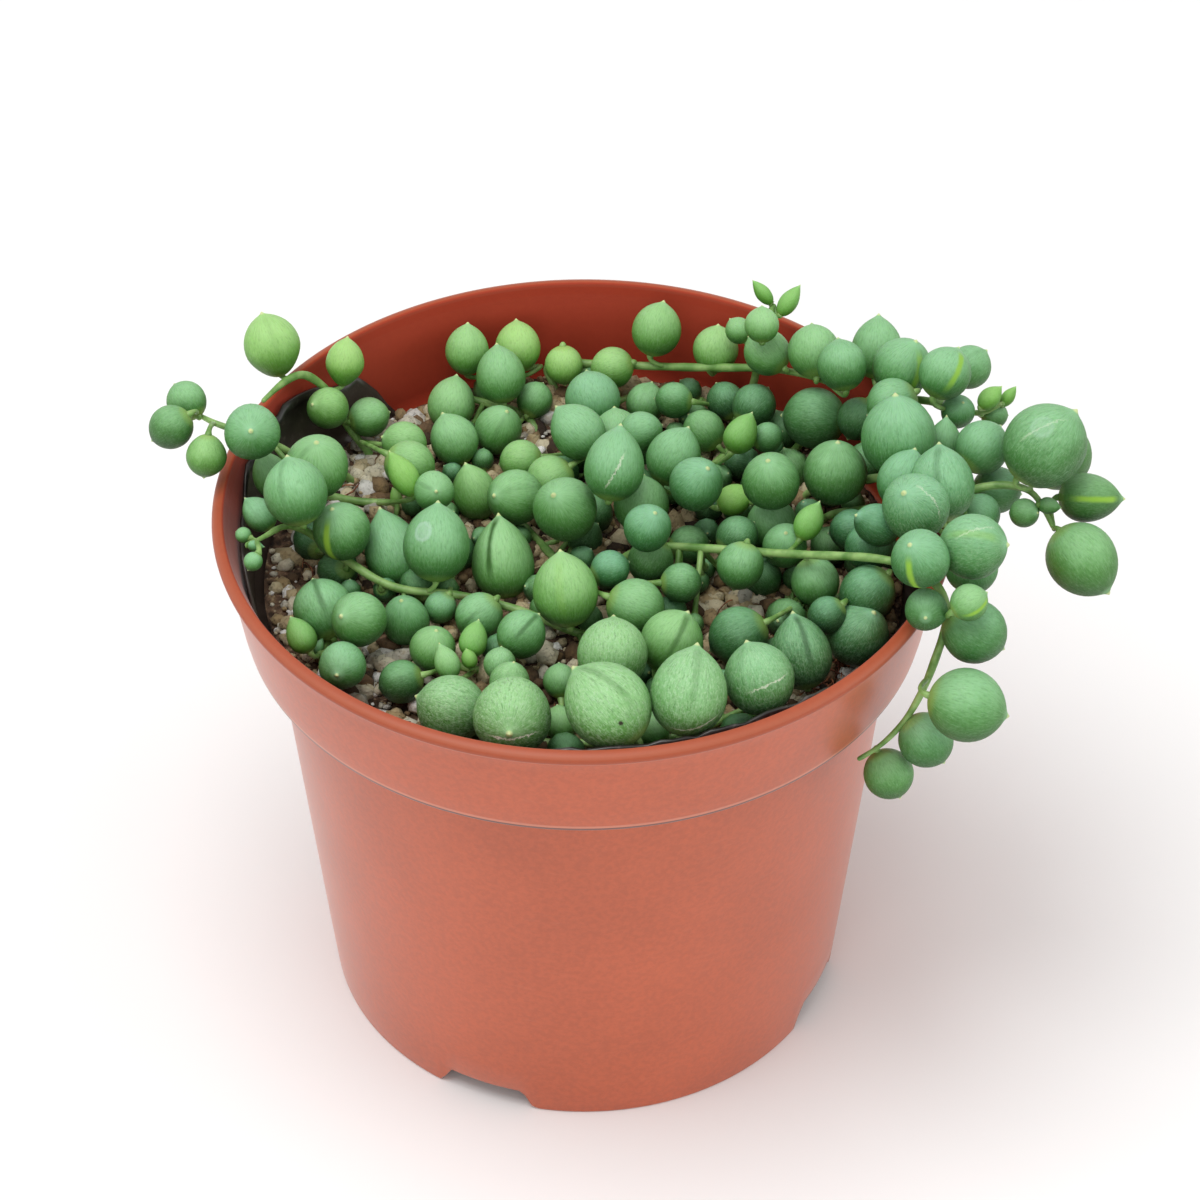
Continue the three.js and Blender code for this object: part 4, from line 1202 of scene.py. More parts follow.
class PEARLS_OT_pot(bpy.types.Operator):
    """Make the round plastic pot with its rolled lip, collar, foot notches and drain holes"""

    bl_idname = "pearls.make_pot"
    bl_label = "Make Pot"

    def execute(self, context):
        corner = 0.5
        foot_inner_edge = 0.3
        foot_outer_edge = 0.35
        lip_radius = 0.75
        lip_fillet = 0.45
        base_middle = 12
        body_low = 4
        body_steps = 16
        collar_steps = 8
        profile = [(0, BASE_HEIGHT), (base_middle, BASE_HEIGHT), (FOOT_RADIUS - WALL, BASE_HEIGHT)]
        inner_foot = FOOT_RADIUS - WALL + foot_inner_edge
        profile += arc((inner_foot, foot_inner_edge), foot_inner_edge, 180, 270, 3)
        outer_foot = FOOT_RADIUS - foot_outer_edge
        profile += arc((outer_foot, foot_outer_edge), foot_outer_edge, -90, 0, 4)
        for i in range(body_steps + 1):
            height = body_low + (COLLAR_LOW_HEIGHT - 1 - body_low) * i / body_steps
            profile.append((body_radius(height), height))
        profile.append((body_radius(COLLAR_LOW_HEIGHT - 0.6), COLLAR_LOW_HEIGHT - 0.6))
        profile += arc((BODY_TOP_RADIUS + corner, COLLAR_LOW_HEIGHT - corner), corner, 180, 90, 3)
        profile += arc((COLLAR_LOW_RADIUS - corner, COLLAR_LOW_HEIGHT + corner), corner, -90, 0, 4)
        low, high = COLLAR_LOW_HEIGHT + corner, LIP_LOW - 2 * lip_fillet
        for i in range(1, collar_steps + 1):
            height = low + (high - low) * i / collar_steps
            profile.append((collar_radius(height), height))
        under_lip = (COLLAR_TOP_RADIUS + lip_fillet, LIP_LOW - lip_fillet)
        profile += arc(under_lip, lip_fillet, 180, 90, 3)
        profile += arc((RIM_RADIUS - lip_radius, LIP_LOW + lip_radius), lip_radius, -90, 80, 8)
        profile += arc((LIP_FLAT_RADIUS + corner, POT_HEIGHT - corner), corner, 100, 180, 5)
        inner_heights = (LIP_LOW - 1, 68, 65, 62, LEDGE_HEIGHT + 0.3)
        profile += [(pot_inner_radius(height), height) for height in inner_heights]
        body_inner = body_radius(LEDGE_HEIGHT) - WALL
        profile += [
            (pot_inner_radius(LEDGE_HEIGHT) - 0.3, LEDGE_HEIGHT), (body_inner + 0.2, LEDGE_HEIGHT),
            (body_inner, LEDGE_HEIGHT - 0.3), (body_radius(BASE_TOP) - WALL, BASE_TOP),
            (base_middle, BASE_TOP), (0, BASE_TOP),
        ]
        bm = turned(profile, POT_STEPS)
        self.cut_notches(bm)
        piece = new_mesh_piece(
            "plastic_pot", bm, [pot_plastic(tuple(settings(context).pot_color))],
            "pot",
        )
        self.drill_drains(piece)
        return {"FINISHED"}

    def cut_notches(self, bm):
        """Lifts the foot ring's lower edge to the base in each notch"""
        for vert in bm.verts:
            if vert.co.z > BASE_HEIGHT - 0.5 or math.hypot(vert.co.x, vert.co.y) < FOOT_RADIUS - 3:
                continue
            angle = math.atan2(vert.co.y, vert.co.x) - FIRST_NOTCH_ANGLE
            spacing = 2 * math.pi / NOTCH_COUNT
            aside = (angle + spacing / 2) % spacing - spacing / 2
            inside = NOTCH_HALF_ANGLE - abs(aside)
            if inside > 0:
                share = min(1, inside / NOTCH_SLANT)
                if aside < 0:
                    share = math.sqrt(min(1, inside / NOTCH_ROUNDING))
                vert.co.z += (NOTCH_HEIGHT - 0.35) * share

    def drill_drains(self, piece):
        """Cuts the round drain holes through the base"""
        bm = bmesh.new()
        for i in range(DRAIN_COUNT):
            angle = 2 * math.pi * i / DRAIN_COUNT
            place = (math.cos(angle) * DRAIN_CIRCLE, math.sin(angle) * DRAIN_CIRCLE, BASE_HEIGHT)
            bmesh.ops.create_cone(
                bm, cap_ends=True, segments=40, radius1=DRAIN_RADIUS, radius2=DRAIN_RADIUS,
                depth=BASE_THICKNESS * 4, matrix=Matrix.Translation(place),
            )
        into_part_frame(bm)
        drills = add_object("drills", mesh_from(bm, "drills"))
        cut = piece.modifiers.new("drains", "BOOLEAN")
        cut.operation = "DIFFERENCE"
        cut.object = drills
        graph = bpy.context.evaluated_depsgraph_get()
        drilled = bpy.data.meshes.new_from_object(piece.evaluated_get(graph))
        piece.modifiers.clear()
        leftovers = [piece.data, drills.data]
        piece.data = drilled
        bpy.data.objects.remove(drills)
        for mesh in leftovers:
            bpy.data.meshes.remove(mesh)


class PEARLS_OT_liner(bpy.types.Operator):
    """Make the thin torn liner inside the pot"""

    bl_idname = "pearls.make_liner"
    bl_label = "Make Liner"

    def execute(self, context):
        low = BASE_TOP + GAP
        torn = min(LINER_TOPS)
        coarse_tear, fine_tear, deepest_dent = 0.25, 0.18, 0.18
        upper_rings = 14
        top = POT_HEIGHT - LINER_BELOW_RIM
        profile = [(0, low)]
        profile += [(body_radius(h) - WALL - GAP, h) for h in (low, 15, 25, 35, 45, 50)]
        for i in range(upper_rings + 1):
            height = torn + (top - torn) * i / upper_rings
            profile.append((self.radius_at(height), height))
        bm = turned(profile, LINER_STEPS)
        for vert in bm.verts:
            if vert.co.z < torn - 0.1:
                continue
            angle = math.atan2(vert.co.y, vert.co.x)
            share = (vert.co.z - torn) / (top - torn)
            ragged = coarse_tear * math.sin(angle * 41) + fine_tear * math.sin(angle * 97 + 1)
            height = torn + share * (self.top_at(angle) + ragged - torn)
            dent = deepest_dent * math.sin(angle * 17 + height * 0.4)
            dent *= smoothstep(60, 66, height)
            radius = self.radius_at(height) - abs(dent)
            vert.co = (math.cos(angle) * radius, math.sin(angle) * radius, height)
        bmesh.ops.solidify(bm, geom=bm.faces, thickness=LINER_WALL * 0.6)
        bmesh.ops.recalc_face_normals(bm, faces=bm.faces)
        new_mesh_piece("black_liner", bm, [liner_plastic()], "liner")
        return {"FINISHED"}

    def radius_at(self, height):
        """Runs up the wall, out over the ledge and up the collar"""
        inner = body_radius(height) - WALL - GAP
        outer = collar_radius(height) - WALL - GAP
        over = LEDGE_HEIGHT + GAP
        return inner + (outer - inner) * smoothstep(over, over + LINER_WALL, height)

    def top_at(self, angle):
        """The height of the torn edge, which eases from one value of LINER_TOPS to the next"""
        place = (angle / (2 * math.pi) + 1) % 1 * len(LINER_TOPS)
        low = math.floor(place)
        share = (1 - math.cos((place - low) * math.pi)) / 2
        following = LINER_TOPS[(low + 1) % len(LINER_TOPS)]
        return LINER_TOPS[low % len(LINER_TOPS)] * (1 - share) + following * share


class PEARLS_OT_soil(bpy.types.Operator):
    """Make the body of soil with a rough top"""

    bl_idname = "pearls.make_soil"
    bl_label = "Make Soil"

    def execute(self, context):
        coarse, fine, sunk = 0.3, 0.16, 0.25
        low, ledge = BASE_TOP + LINED, LEDGE_HEIGHT + LINED
        profile = [(0, low), (body_radius(low) - WALL - LINED, low)]
        profile += [(body_radius(ledge) - WALL - LINED, ledge), (SOIL_RADIUS, ledge)]
        for i in range(SOIL_RINGS + 1):
            profile.append((SOIL_RADIUS * (1 - i / SOIL_RINGS), POT_HEIGHT))
        bm = turned(profile, SOIL_STEPS)
        for vert in bm.verts:
            if vert.co.z < POT_HEIGHT - 1:
                continue
            x, y = vert.co.x, vert.co.y
            rough = coarse * math.sin(x * 1.9 + 1.3 * y) * math.cos(y * 1.7 - 0.9 * x)
            rough += fine * math.sin(x * 5.1 - 2.3 * y) * math.cos(y * 4.3 + 1.9 * x)
            vert.co.z = soil_height(x, y) + rough - sunk
        new_mesh_piece("soil_body", bm, [soil_mix()], "soil")
        return {"FINISHED"}


# Sizes of the grains as shares of a middling one, and their tones from brown to white
GRAIN_SIZES = (0.4, 0.5, 0.55, 0.65, 0.8, 0.95, 1.2, 1.6, 2.1, 2.7)
GRAIN_TONES = (0.02, 0.1, 0.2, 0.36, 0.48, 0.58, 0.66, 0.72, 0.8, 0.88, 0.96)

# What share of the grains are white, and how dark the grains between the leaves are painted, as
# painted shade under the leaves
WHITE_SHARE = 0.05
SHADED_TONE = 0.55

# Where larger stones lie: x, y and spread in pixels of the picture, and how many
STONY_PATCHES = (
    (284, 574, 20, 17), (300, 612, 20, 12), (370, 700, 22, 16), (355, 470, 20, 14),
    (715, 602, 10, 8), (762, 612, 4, 2), (800, 705, 4, 3),
)
STONY_HEIGHT = 62.5

# The middle of the fibres: its pixel in the picture and its height
FIBRE_HEART = (845, 676, 63)
FIBRE_REACH = 36
FIBRE_STEPS = 6

# What the random draws of each piece start from
GRIT_SEED = 11
FIBRE_SEED = 5
LEAF_SEED = 3
LOW_LEAF_SEED = 21


def place_on_soil(rng, margin):
    """A place drawn at random on the soil, at least this far inside its edge"""
    around = rng.uniform(0, 2 * math.pi)
    outward = math.sqrt(rng.random()) * (SOIL_RADIUS - margin)
    return math.cos(around) * outward, math.sin(around) * outward


def is_open_ground(place, size):
    """Whether a thing on the soil stays out of the pearls and the wall"""
    if math.hypot(place[0], place[1]) > SOIL_RADIUS - size:
        return False
    return not (np.linalg.norm(PEARL_CENTRES - place, axis=1) < PEARL_RADII + size * 0.3).any()


class PEARLS_OT_grit(bpy.types.Operator):
    """Scatter angular mineral grains over the soil"""

    bl_idname = "pearls.scatter_grit"
    bl_label = "Scatter Grit"

    def execute(self, context):
        rng = random.Random(GRIT_SEED)
        values = settings(context)
        stone = bmesh.new()
        bmesh.ops.create_icosphere(stone, subdivisions=1, radius=1)
        template = mesh_from(stone, "grain")
        bm = bmesh.new()
        tone_layer = bm.verts.layers.float.new("grain_tone")
        stones = []
        for x, y, wide, count in STONY_PATCHES:
            for _ in range(count):
                pixel = (x + rng.gauss(0, wide), y + rng.gauss(0, wide))
                stones.append((at_height(*pixel, STONY_HEIGHT), rng.uniform(0.8, 1.5)))
        for index in range(values.grain_count):
            size = values.grain_size * rng.choice(GRAIN_SIZES)
            tone = rng.choice(GRAIN_TONES)
            if index < len(stones):
                place, size = stones[index]
                tone = 0.18 + tone * 0.6
            else:
                place = place_on_soil(rng, 0.4)
                tone = 1.0 if rng.random() < WHITE_SHARE else tone
                # Painted shade: grains between and under the leaves are darkened
                if not in_bare_patch((*place, SOIL_EDGE_HEIGHT)):
                    tone *= SHADED_TONE
            ground = soil_height(place[0], place[1])
            place = np.array((place[0], place[1], ground + size * rng.uniform(-0.25, 0.45)))
            spin = Matrix.Rotation(rng.uniform(0, 2 * math.pi), 3, "X")
            spin = spin @ Matrix.Rotation(rng.uniform(0, 2 * math.pi), 3, "Z")
            stretch = Vector((rng.uniform(0.8, 1.4), rng.uniform(0.7, 1.1), rng.uniform(0.55, 0.9)))
            jags = [1 + rng.uniform(-0.16, 0.14) for _ in template.vertices]
            if not is_open_ground(place, size):
                continue
            shift = rng.uniform(-0.06, 0.06)
            for vert, jag in zip(add_mesh(bm, template, 0, keep=True), jags):
                corner = vert.co * jag * size
                vert.co = Vector(place) + spin @ (corner * stretch)
                vert[tone_layer] = min(1, max(0, tone + shift))
        bpy.data.meshes.remove(template)
        new_mesh_piece("mineral_grit", bm, [grit_stone()], "soil")
        return {"FINISHED"}


class PEARLS_OT_fibres(bpy.types.Operator):
    """Lay thin coconut fibres on the soil, most of them near the right front"""

    bl_idname = "pearls.lay_fibres"
    bl_label = "Lay Fibres"

    def execute(self, context):
        rng = random.Random(FIBRE_SEED)
        bm = bmesh.new()
        heart = at_height(*FIBRE_HEART)
        laid = 0
        while laid < settings(context).fibre_count:
            if laid % 4:
                spot = heart + np.array((rng.gauss(0, 4.5), rng.gauss(0, 3), 0))
            else:
                across = rng.uniform(-FIBRE_REACH, FIBRE_REACH)
                spot = np.array((across, rng.uniform(-FIBRE_REACH, FIBRE_REACH), 0))
            heading = rng.uniform(0, 2 * math.pi)
            length = rng.uniform(3, 7)
            curl = rng.uniform(-0.35, 0.35)
            points = []
            for step in range(FIBRE_STEPS + 1):
                heading += curl + rng.uniform(-0.15, 0.15)
                ahead = np.array((math.cos(heading), math.sin(heading), 0))
                spot = spot + ahead * length / FIBRE_STEPS
                lift = 0.45 + 0.9 * math.sin(step / FIBRE_STEPS * math.pi) * rng.random()
                points.append((spot[0], spot[1], soil_height(spot[0], spot[1]) + lift))
            laid += 1
            if any(math.hypot(point[0], point[1]) > SOIL_RADIUS - 0.5 for point in points):
                continue
            thick = rng.uniform(0.05, 0.11)
            add_mesh(bm, sweep(points, [thick] * FIBRE_STEPS + [thick * 0.4], 4), 0)
        new_mesh_piece("coir_fibres", bm, [coir_fibre()])
        return {"FINISHED"}


# Leaves and stalks


# How yellow and how light the leaves of each strand are, from 0 to 1. The lightness is partly the
# leaves' own tone and partly painted light and shade: leaves that lie in shade are given less
STRAND_TONES = {
    "strand_back": (0.7, 0.65),
    "strand_shoot": (0.45, 0.7),
    "strand_back_left": (0.35, 0.5),
    "strand_middle_back": (0.3, 0.6),
    "strand_middle_right": (0.3, 0.35),
    "strand_right_back": (0.25, 0.5),
    "strand_right": (0.2, 0.5),
    "strand_far_right": (0.3, 0.3),
    "strand_hanging": (0.3, 0.4),
    "strand_right_front": (0.1, 0.15),
    "strand_front": (0.45, 0.55),
    "strand_left": (0.25, 0.5),
    "strand_left_back": (0.5, 0.45),
    "strand_left_edge": (0.4, 0.5),
    "strand_left_inner": (0.3, 0.6),
    "strand_left_front": (0.35, 0.5),
    "strand_front_left": (0.4, 0.5),
    "strand_centre": (0.4, 0.45),
}

# The same for single leaves that differ from their strand, by their place in the picture
LEAF_TONES = {
    (271, 343): (0.85, 0.8), (345, 360): (1.0, 0.8), (327, 408): (0.7, 0.35),
    (402, 473): (0.95, 0.7), (396, 497): (1.0, 0.8), (518, 345): (0.95, 0.85),
    (564, 366): (0.95, 0.8), (657, 328): (0.6, 0.5), (766, 352): (0.45, 0.6),
    (814, 350): (0.4, 0.6), (842, 364): (0.25, 0.4), (762, 292): (0.75, 0.6),
    (790, 300): (0.75, 0.65), (452, 402): (0.55, 0.75), (592, 398): (0.15, 0.75),
    (549, 480): (0.6, 0.6), (520, 461): (0.65, 0.55), (697, 483): (0.1, 0.5),
    (736, 499): (1.0, 0.8), (742, 432): (0.65, 0.5), (725, 400): (0.1, 0.1),
    (755, 405): (0.1, 0.1), (771, 480): (0.35, 0.3), (565, 588): (0.65, 0.6),
    (474, 490): (0.6, 0.4), (611, 569): (0.0, 0.35), (682, 583): (0.3, 0.25),
    (648, 527): (0.05, 0.5), (810, 520): (0.6, 0.65), (690, 545): (0.3, 0.1),
    (650, 562): (0.35, 0.15), (738, 536): (0.2, 0.1), (920, 558): (0.15, 0.5),
    (970, 602): (0.45, 0.65), (875, 524): (0.0, 0.3), (850, 530): (0.0, 0.15),
    (868, 548): (0.0, 0.15), (868, 462): (0.2, 0.1), (858, 420): (0.2, 0.1),
    (813, 418): (0.25, 0.2), (835, 471): (0.3, 0.25), (991, 397): (0.85, 0.65),
    (1009, 396): (0.85, 0.65), (300, 634): (0.6, 0.7), (342, 666): (0.2, 0.5),
    (446, 661): (0.55, 0.75), (474, 638): (0.65, 0.75), (469, 658): (0.85, 0.75),
    (400, 682): (0.3, 0.1), (170, 428): (0.35, 0.15), (206, 457): (0.7, 0.5),
    (252, 432): (0.2, 0.55), (758, 677): (0.3, 0.4), (437, 541): (0.25, 0.6),
}

# Leaves with a marked window stripe: a pixel that it runs through, and how light it is.
# Below zero it is a dark furrow.
WINDOWS = {
    (920, 558): (910, 582, 1.0), (1092, 498): (1092, 500, 0.9), (975, 546): (975, 534, 0.35),
    (946, 372): (947, 388, 0.8), (903, 366): (918, 372, 0.6), (970, 602): (974, 613, 1.0),
    (341, 530): (327, 544, 0.9), (502, 556): (488, 548, -0.9), (800, 650): (808, 655, -0.6),
    (295, 490): (284, 498, -0.35), (323, 608): (318, 588, -0.6), (478, 617): (482, 608, -0.5),
    (522, 633): (514, 640, -0.6), (565, 588): (560, 592, 0.25), (672, 640): (680, 634, -0.6),
    (605, 703): (622, 690, -0.4), (689, 689): (692, 700, -0.35), (499, 428): (494, 440, -0.3),
    (317, 465): (300, 458, -0.3), (941, 482): (934, 470, -0.4), (434, 491): (425, 486, -0.3),
}

# Leaves with a scar: a pixel that it shows at, how strong its pale ring, its dark speck and its
# corky crack are, and how many degrees the crack is tilted
SCARS = {
    (437, 541): (423, 527, 1.0, 0.0, 0.0, 0), (605, 703): (617, 718, 0.0, 1.0, 0.0, 0),
    (512, 717): (514, 738, 0.0, 0.0, 1.0, 3), (689, 689): (698, 720, 0.0, 0.0, 0.7, 12),
    (758, 677): (768, 682, 0.0, 0.0, 0.6, 22), (1047, 444): (1040, 425, 0.5, 0.0, 0.3, 25),
    (615, 462): (616, 466, 0.0, 0.5, 0.5, 60), (915, 506): (930, 500, 0.0, 0.0, 0.4, -50),
    (975, 546): (975, 530, 0.0, 0.0, 0.35, 20),
}

# How strongly the skin of some leaves is covered with fine pale cracks
VEINED = {
    (450, 708): 1.2, (512, 717): 1.2, (605, 703): 1.0, (689, 689): 1.0, (758, 677): 0.8,
    (510, 681): 0.8, (613, 652): 1.0, (500, 663): 0.6, (915, 506): 0.5, (1047, 444): 0.35,
    (975, 546): 0.4, (800, 650): 0.5, (858, 633): 0.4, (941, 482): 0.4,
}

# Young leaves of a fresh green
FRESH = {
    (991, 397), (1009, 396), (396, 497), (402, 473), (474, 638), (469, 658), (762, 292),
    (790, 300), (300, 634), (810, 520), (736, 499), (742, 432),
}

# Leaves that narrow towards their stalk like a drop
DROPS = {(271, 343): 0.5, (345, 360): 0.8, (206, 457): 0.3, (467, 348): 0.3}


class LeafLook:
    """How yellow and light a leaf is, its lightness partly painted light and shade, its own seed,
    its window stripe and its scar
    """

    def __init__(self, yellow, light, seed, window=0.0, window_pixel=None, key=None):
        self.yellow = min(1, max(0, yellow))
        self.light = min(1, max(0, light))
        self.seed = seed
        self.window = window
        self.window_pixel = window_pixel
        self.drop = DROPS.get(key, 0.0)
        scar = SCARS.get(key)
        self.scar_pixel = scar and scar[:2]
        self.marks = scar[2:5] if scar else (0, 0, 0)
        self.tilt = math.radians(scar[5]) if scar else 0
        self.veins = VEINED.get(key, 0.2)
        self.fresh = 1.0 if key in FRESH else 0.0


def leaf_look(pearl, name, rng):
    """The look of a leaf, from its own tone or else its strand's, and its own marks"""
    key = (pearl.x, pearl.y)
    yellow, light = LEAF_TONES.get(key, STRAND_TONES[name])
    wander = LEAF_WANDER if key in LEAF_TONES else STRAND_WANDER
    yellow += rng.uniform(-wander, wander)
    light += rng.uniform(-wander, wander)
    x, y, window = WINDOWS.get(key, (None, None, rng.uniform(-0.25, 0.05)))
    pixel = None if x is None else (x, y)
    return LeafLook(yellow, light, rng.random(), window, pixel, key)


class LowLeaf:
    """A small leaf near the soil, on a stalk from the nearest stem"""

    def __init__(self, centre, radius, knot):
        self.centre, self.radius, self.knot = centre, radius, knot
        self.x, self.y = pixel_of(centre)
        self.scale = float(np.dot(centre - EYE, SIGHT)) / FOCAL_PIXELS
        self.width, self.length = 2 * radius / self.scale, None
        away = centre - knot
        away = away / np.linalg.norm(away) + np.array((0, 0, LOW_LEAF_RISE))
        self.direction = away / np.linalg.norm(away)


def leaf_template(degrees, sides):
    """A ball of radius 1 along Z, with rings at these angles from its tip"""
    profile = [(math.sin(math.radians(a)), math.cos(math.radians(a))) for a in degrees]
    profile[0], profile[-1] = (0.0, 1.0), (0.0, -1.0)
    return mesh_from(turned(profile, sides), "leaf")


def new_leafy_mesh():
    """An empty mesh, and by name the layers that the leaves' material reads"""
    bm = bmesh.new()
    vectors = ("place", "tone", "scar", "marks", "crack", "finish")
    names = [f"pearl_{name}" for name in vectors]
    layers = {name: bm.verts.layers.float_vector.new(name) for name in names}
    layers["pearl_window"] = bm.verts.layers.float.new("pearl_window")
    return bm, layers


def seen_side(pearl, pixel):
    """The way from a leaf's centre to the place on it that shows at a pixel of the picture"""
    across = (pixel[0] - pearl.x) * pearl.scale
    down = (pixel[1] - pearl.y) * pearl.scale
    towards = math.sqrt(max(0.1, pearl.radius**2 - across**2 - down**2))
    return Vector(SIGHT_RIGHT * across - SIGHT_UP * down - SIGHT * towards)


def window_side(pearl, direction, look):
    """The side of a leaf that its window stripe runs down, square to its direction"""
    if look.window_pixel:
        side = seen_side(pearl, look.window_pixel)
    else:
        to_eye = (Vector(EYE) - Vector(pearl.centre)).normalized()
        side = Matrix.Rotation((look.seed - 0.5) * WINDOW_TURN, 3, direction) @ to_eye
    side -= direction * side.dot(direction)
    if side.length < 0.05:
        side = direction.orthogonal()
    return side.normalized()


def add_leaf(bm, template, pearl, look, layers):
    """Adds one leaf: a ball that is drawn out to its length and ends in a small point"""
    direction = Vector(pearl.direction)
    side = window_side(pearl, direction, look)
    turn = Matrix((side, direction.cross(side), direction)).transposed()
    radius = pearl.radius
    length = (pearl.length or pearl.width * PLAIN_RATIO) * pearl.scale
    ratio = length / (2 * radius)
    cusp = min(CUSP_TALLEST, max(CUSP_LOWEST, (ratio - 1) * CUSP_SHARE))
    body = max(1.0, 2 * ratio - cusp - NUB_HEIGHT) / 2
    front = body * 2 - 1 if body < ROUND_BODY else body
    back = 2 * body - front
    slim = min(SLIMMEST, max(0, ratio - LONG_RATIO) * SLIM_SHARE)
    centre = Vector(pearl.centre) - direction * (length / 2 - back * radius)
    scar = crack = Vector((0, 0, 0))
    if look.scar_pixel:
        scar = turn.transposed() @ seen_side(pearl, look.scar_pixel).normalized()
        run = Vector(SIGHT_RIGHT * math.cos(look.tilt) + SIGHT_UP * math.sin(look.tilt))
        crack = scar.cross(turn.transposed() @ run).normalized()
    marks = {
        "pearl_tone": (look.yellow, look.light, look.seed), "pearl_window": look.window,
        "pearl_scar": scar, "pearl_marks": look.marks, "pearl_crack": crack,
        "pearl_finish": (look.veins, look.fresh, 0.0),
    }
    for vert in add_mesh(bm, template, 0, keep=True):
        x, y, z = vert.co
        vert[layers["pearl_place"]] = vert.co
        for name, value in marks.items():
            vert[layers[name]] = value
        reach = math.hypot(x, y)
        width = 1 - slim * smoothstep(0.0, 1.0, z) * 0.5
        width *= 1 - look.drop * DROP_NARROWING * smoothstep(0.0, 1.0, -z)
        along = z * (front if z > 0 else back * (1 + look.drop * DROP_LENGTHENING))
        if z > 0:
            along += cusp * math.exp(-((reach / CUSP_WIDTH) ** 1.2))
            along += NUB_HEIGHT * math.exp(-((reach / NUB_WIDTH) ** 2))
        lump = 1 + LUMP * math.sin(3 * math.atan2(y, x) + look.seed * 20) * reach
        local = Vector((x * width * lump, y * width * lump, along)) * radius
        vert.co = centre + turn @ local
    pearl.base = centre - direction * radius * back * STALK_END


def add_stalk(bm, pearl):
    """Adds a bent stalk from a leaf's place on its stem into its base"""
    start, end = Vector(pearl.knot), Vector(pearl.base)
    direction = Vector(pearl.direction)
    bend = end - direction * min((end - start).length * 0.4, pearl.radius * 0.5)
    width = min(STALK_WIDTH, pearl.radius)
    points, radii = [], []
    for i in range(STALK_STEPS + 1):
        share = i / STALK_STEPS
        points.append(start.lerp(bend, share).lerp(bend.lerp(end, share), share))
        flare = 0.42 + 0.3 * smoothstep(0.75, 1, share) + 0.08 * smoothstep(0.25, 0, share)
        radii.append(width * flare)
    points.append(end + direction * pearl.radius * 0.15)
    radii.append(width * 0.5)
    add_mesh(bm, sweep(points, radii, STEM_SIDES), 1)


class PEARLS_OT_strands(bpy.types.Operator):
    """Grow the leafy stems, each with its stem, stalks and round pointed leaves"""

    bl_idname = "pearls.grow_strands"
    bl_label = "Grow Strands"

    def execute(self, context):
        rng = random.Random(LEAF_SEED)
        template = leaf_template(LEAF_RINGS, LEAF_SIDES)
        skins = [pearl_skin(), stem_skin()]
        for index, name in enumerate(STRANDS):
            bm, layers = new_leafy_mesh()
            own = [pearl for pearl in PLANT_PEARLS if pearl.strand == index]
            for pearl in own:
                add_leaf(bm, template, pearl, leaf_look(pearl, name, rng), layers)
            self.grow_stem(bm, PLANT_LINES[index], rng)
            for pearl in own:
                add_stalk(bm, pearl)
            new_mesh_piece(
                name.replace("strand", "pearls"), bm, skins, name, levels=1
            )
        bpy.data.meshes.remove(template)
        return {"FINISHED"}

    def grow_stem(self, bm, line, rng):
        """Adds a stem along a line of knots, a little uneven and thinner at its tip"""
        points = rounded(line, 1)
        count = len(points)
        radii = []
        for i in range(count):
            left = (count - 1 - i) / count
            knuckle = 1 + 0.07 * math.sin(i * 1.7 + rng.random())
            radii.append(STEM_WIDTH / 2 * knuckle * (0.55 + 0.45 * smoothstep(0, 0.25, left)))
        add_mesh(bm, sweep(points, radii, STEM_SIDES), 1)


class PEARLS_OT_low_leaves(bpy.types.Operator):
    """Grow small dark leaves low between the others, where no soil shows in the picture"""

    bl_idname = "pearls.grow_low_leaves"
    bl_label = "Grow Low Leaves"

    def execute(self, context):
        rng = random.Random(LOW_LEAF_SEED)
        template = leaf_template(LOW_LEAF_RINGS, LOW_LEAF_SIDES)
        bm, layers = new_leafy_mesh()
        centres, radii = list(PEARL_CENTRES), list(PEARL_RADII)
        knots = np.concatenate(PLANT_LINES)
        for _ in range(settings(context).low_leaf_tries):
            x, y = place_on_soil(rng, LOW_LEAF_LARGEST)
            place = np.array((x, y, soil_height(x, y) + LOW_LEAF_LARGEST * LOW_LEAF_LIFT))
            gaps = np.linalg.norm(np.array(centres) - place, axis=1) - np.array(radii)
            to_knots = np.linalg.norm(knots - place, axis=1)
            radius = min(LOW_LEAF_LARGEST, gaps.min(), to_knots.min() - STEM_WIDTH / 2)
            if radius < LOW_LEAF_SMALLEST or in_bare_patch(place):
                continue
            leaf = LowLeaf(place, radius, knots[to_knots.argmin()])
            # Painted shade: these small leaves get little lightness, so that they stand dark in the
            # deep gaps between the other leaves
            look = LeafLook(rng.uniform(0.1, 0.4), rng.uniform(0.0, 0.15), rng.random())
            add_leaf(bm, template, leaf, look, layers)
            add_stalk(bm, leaf)
            centres.append(place)
            radii.append(radius)
        bpy.data.meshes.remove(template)
        new_mesh_piece("low_leaves", bm, [pearl_skin(), stem_skin()])
        return {"FINISHED"}


# Half the width of the floor in metres, and the lights: place and width in metres, and power as a
# share of the main light's
FLOOR_REACH = 6
LIGHTS = {
    "main_light": ((-0.2, -0.12, 0.95), 0.7, 1.0),
    "front_light": ((-0.2, -0.8, 0.45), 0.5, 0.15),
    "side_light": ((0.9, -0.15, 0.25), 0.8, 0.35),
}


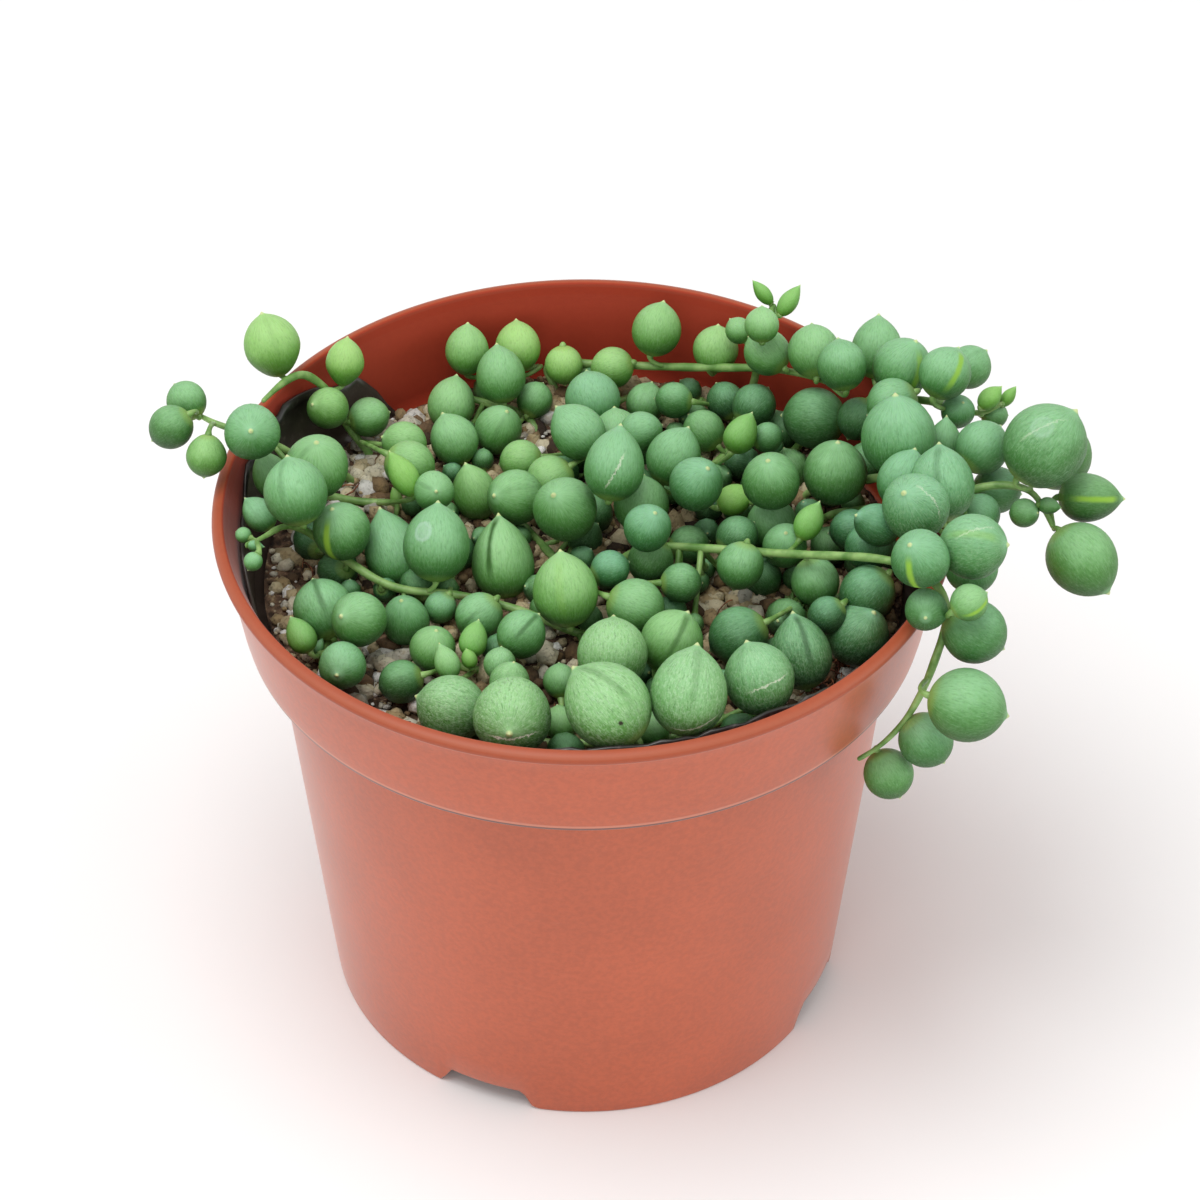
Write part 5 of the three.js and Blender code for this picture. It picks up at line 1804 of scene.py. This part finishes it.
class PEARLS_OT_stage(bpy.types.Operator):
    """Make the pale floor, the soft lights and the camera"""

    bl_idname = "pearls.set_stage"
    bl_label = "Set Stage"

    def execute(self, context):
        values = settings(context)
        scene = context.scene
        bm = bmesh.new()
        bmesh.ops.create_grid(bm, x_segments=2, y_segments=2, size=FLOOR_REACH)
        floor = add_object("studio_floor", mesh_from(bm, "studio_floor"))
        floor.data.materials.append(studio_floor())

        world = bpy.data.worlds.new("studio_world")
        world.use_nodes = True
        surround = world.node_tree.nodes["Background"].inputs
        surround["Color"].default_value = (1, 1, 1, 1)
        surround["Strength"].default_value = values.surround
        scene.world = world
        for name, (place, size, share) in LIGHTS.items():
            self.soft_light(name, place, size, values.light_power * share)

        lens = bpy.data.cameras.new("camera")
        lens.sensor_width = SENSOR_WIDTH
        lens.lens = FOCAL_PIXELS / PICTURE_WIDTH * SENSOR_WIDTH
        lens.clip_start = 0.01
        camera = add_object("camera", lens)
        camera.location = part_place(EYE)
        sight = part_place(AIM) - part_place(EYE)
        camera.rotation_euler = sight.to_track_quat("-Z", "Y").to_euler()
        scene.camera = camera
        scene.view_settings.view_transform = "Standard"
        return {"FINISHED"}

    def soft_light(self, name, place, size, power):
        """Adds a round light that points at the middle of the pot's rim"""
        data = bpy.data.lights.new(name, "AREA")
        data.shape = "DISK"
        data.size = size
        data.energy = power
        light = add_object(name, data)
        light.location = place
        target = Vector((AXIS_X, AXIS_Y, POT_HEIGHT * MM))
        light.rotation_euler = (target - light.location).to_track_quat("-Z", "Y").to_euler()


def part_place(point):
    """A point of the pot's frame in millimetres, in the part's frame in metres"""
    return Vector((point[0] * MM + AXIS_X, point[1] * MM + AXIS_Y, point[2] * MM))


OPERATORS = (
    PEARLS_OT_pot, PEARLS_OT_liner, PEARLS_OT_soil, PEARLS_OT_grit, PEARLS_OT_fibres,
    PEARLS_OT_strands, PEARLS_OT_low_leaves, PEARLS_OT_stage,
)


class PEARLS_PT_panel(bpy.types.Panel):
    """The buttons and settings in the sidebar"""

    bl_idname = "PEARLS_PT_panel"
    bl_label = "String of Pearls"
    bl_space_type = "VIEW_3D"
    bl_region_type = "UI"
    bl_category = "Pearls"

    def draw(self, context):
        for name in PearlSettings.__annotations__:
            self.layout.prop(settings(context), name)
        for operator in OPERATORS:
            self.layout.operator(operator.bl_idname)


CLASSES = (PearlSettings, *OPERATORS, PEARLS_PT_panel)


def register():
    for cls in CLASSES:
        bpy.utils.register_class(cls)
    bpy.types.Scene.potted_pearls = PointerProperty(type=PearlSettings)


def unregister():
    del bpy.types.Scene.potted_pearls
    for cls in reversed(CLASSES):
        bpy.utils.unregister_class(cls)


def main():
    register()
    bpy.ops.pearls.make_pot()
    bpy.ops.pearls.make_liner()
    bpy.ops.pearls.make_soil()
    bpy.ops.pearls.scatter_grit()
    bpy.ops.pearls.lay_fibres()
    bpy.ops.pearls.grow_strands()
    bpy.ops.pearls.grow_low_leaves()
    bpy.ops.pearls.set_stage()


if __name__ == "__main__":
    main()
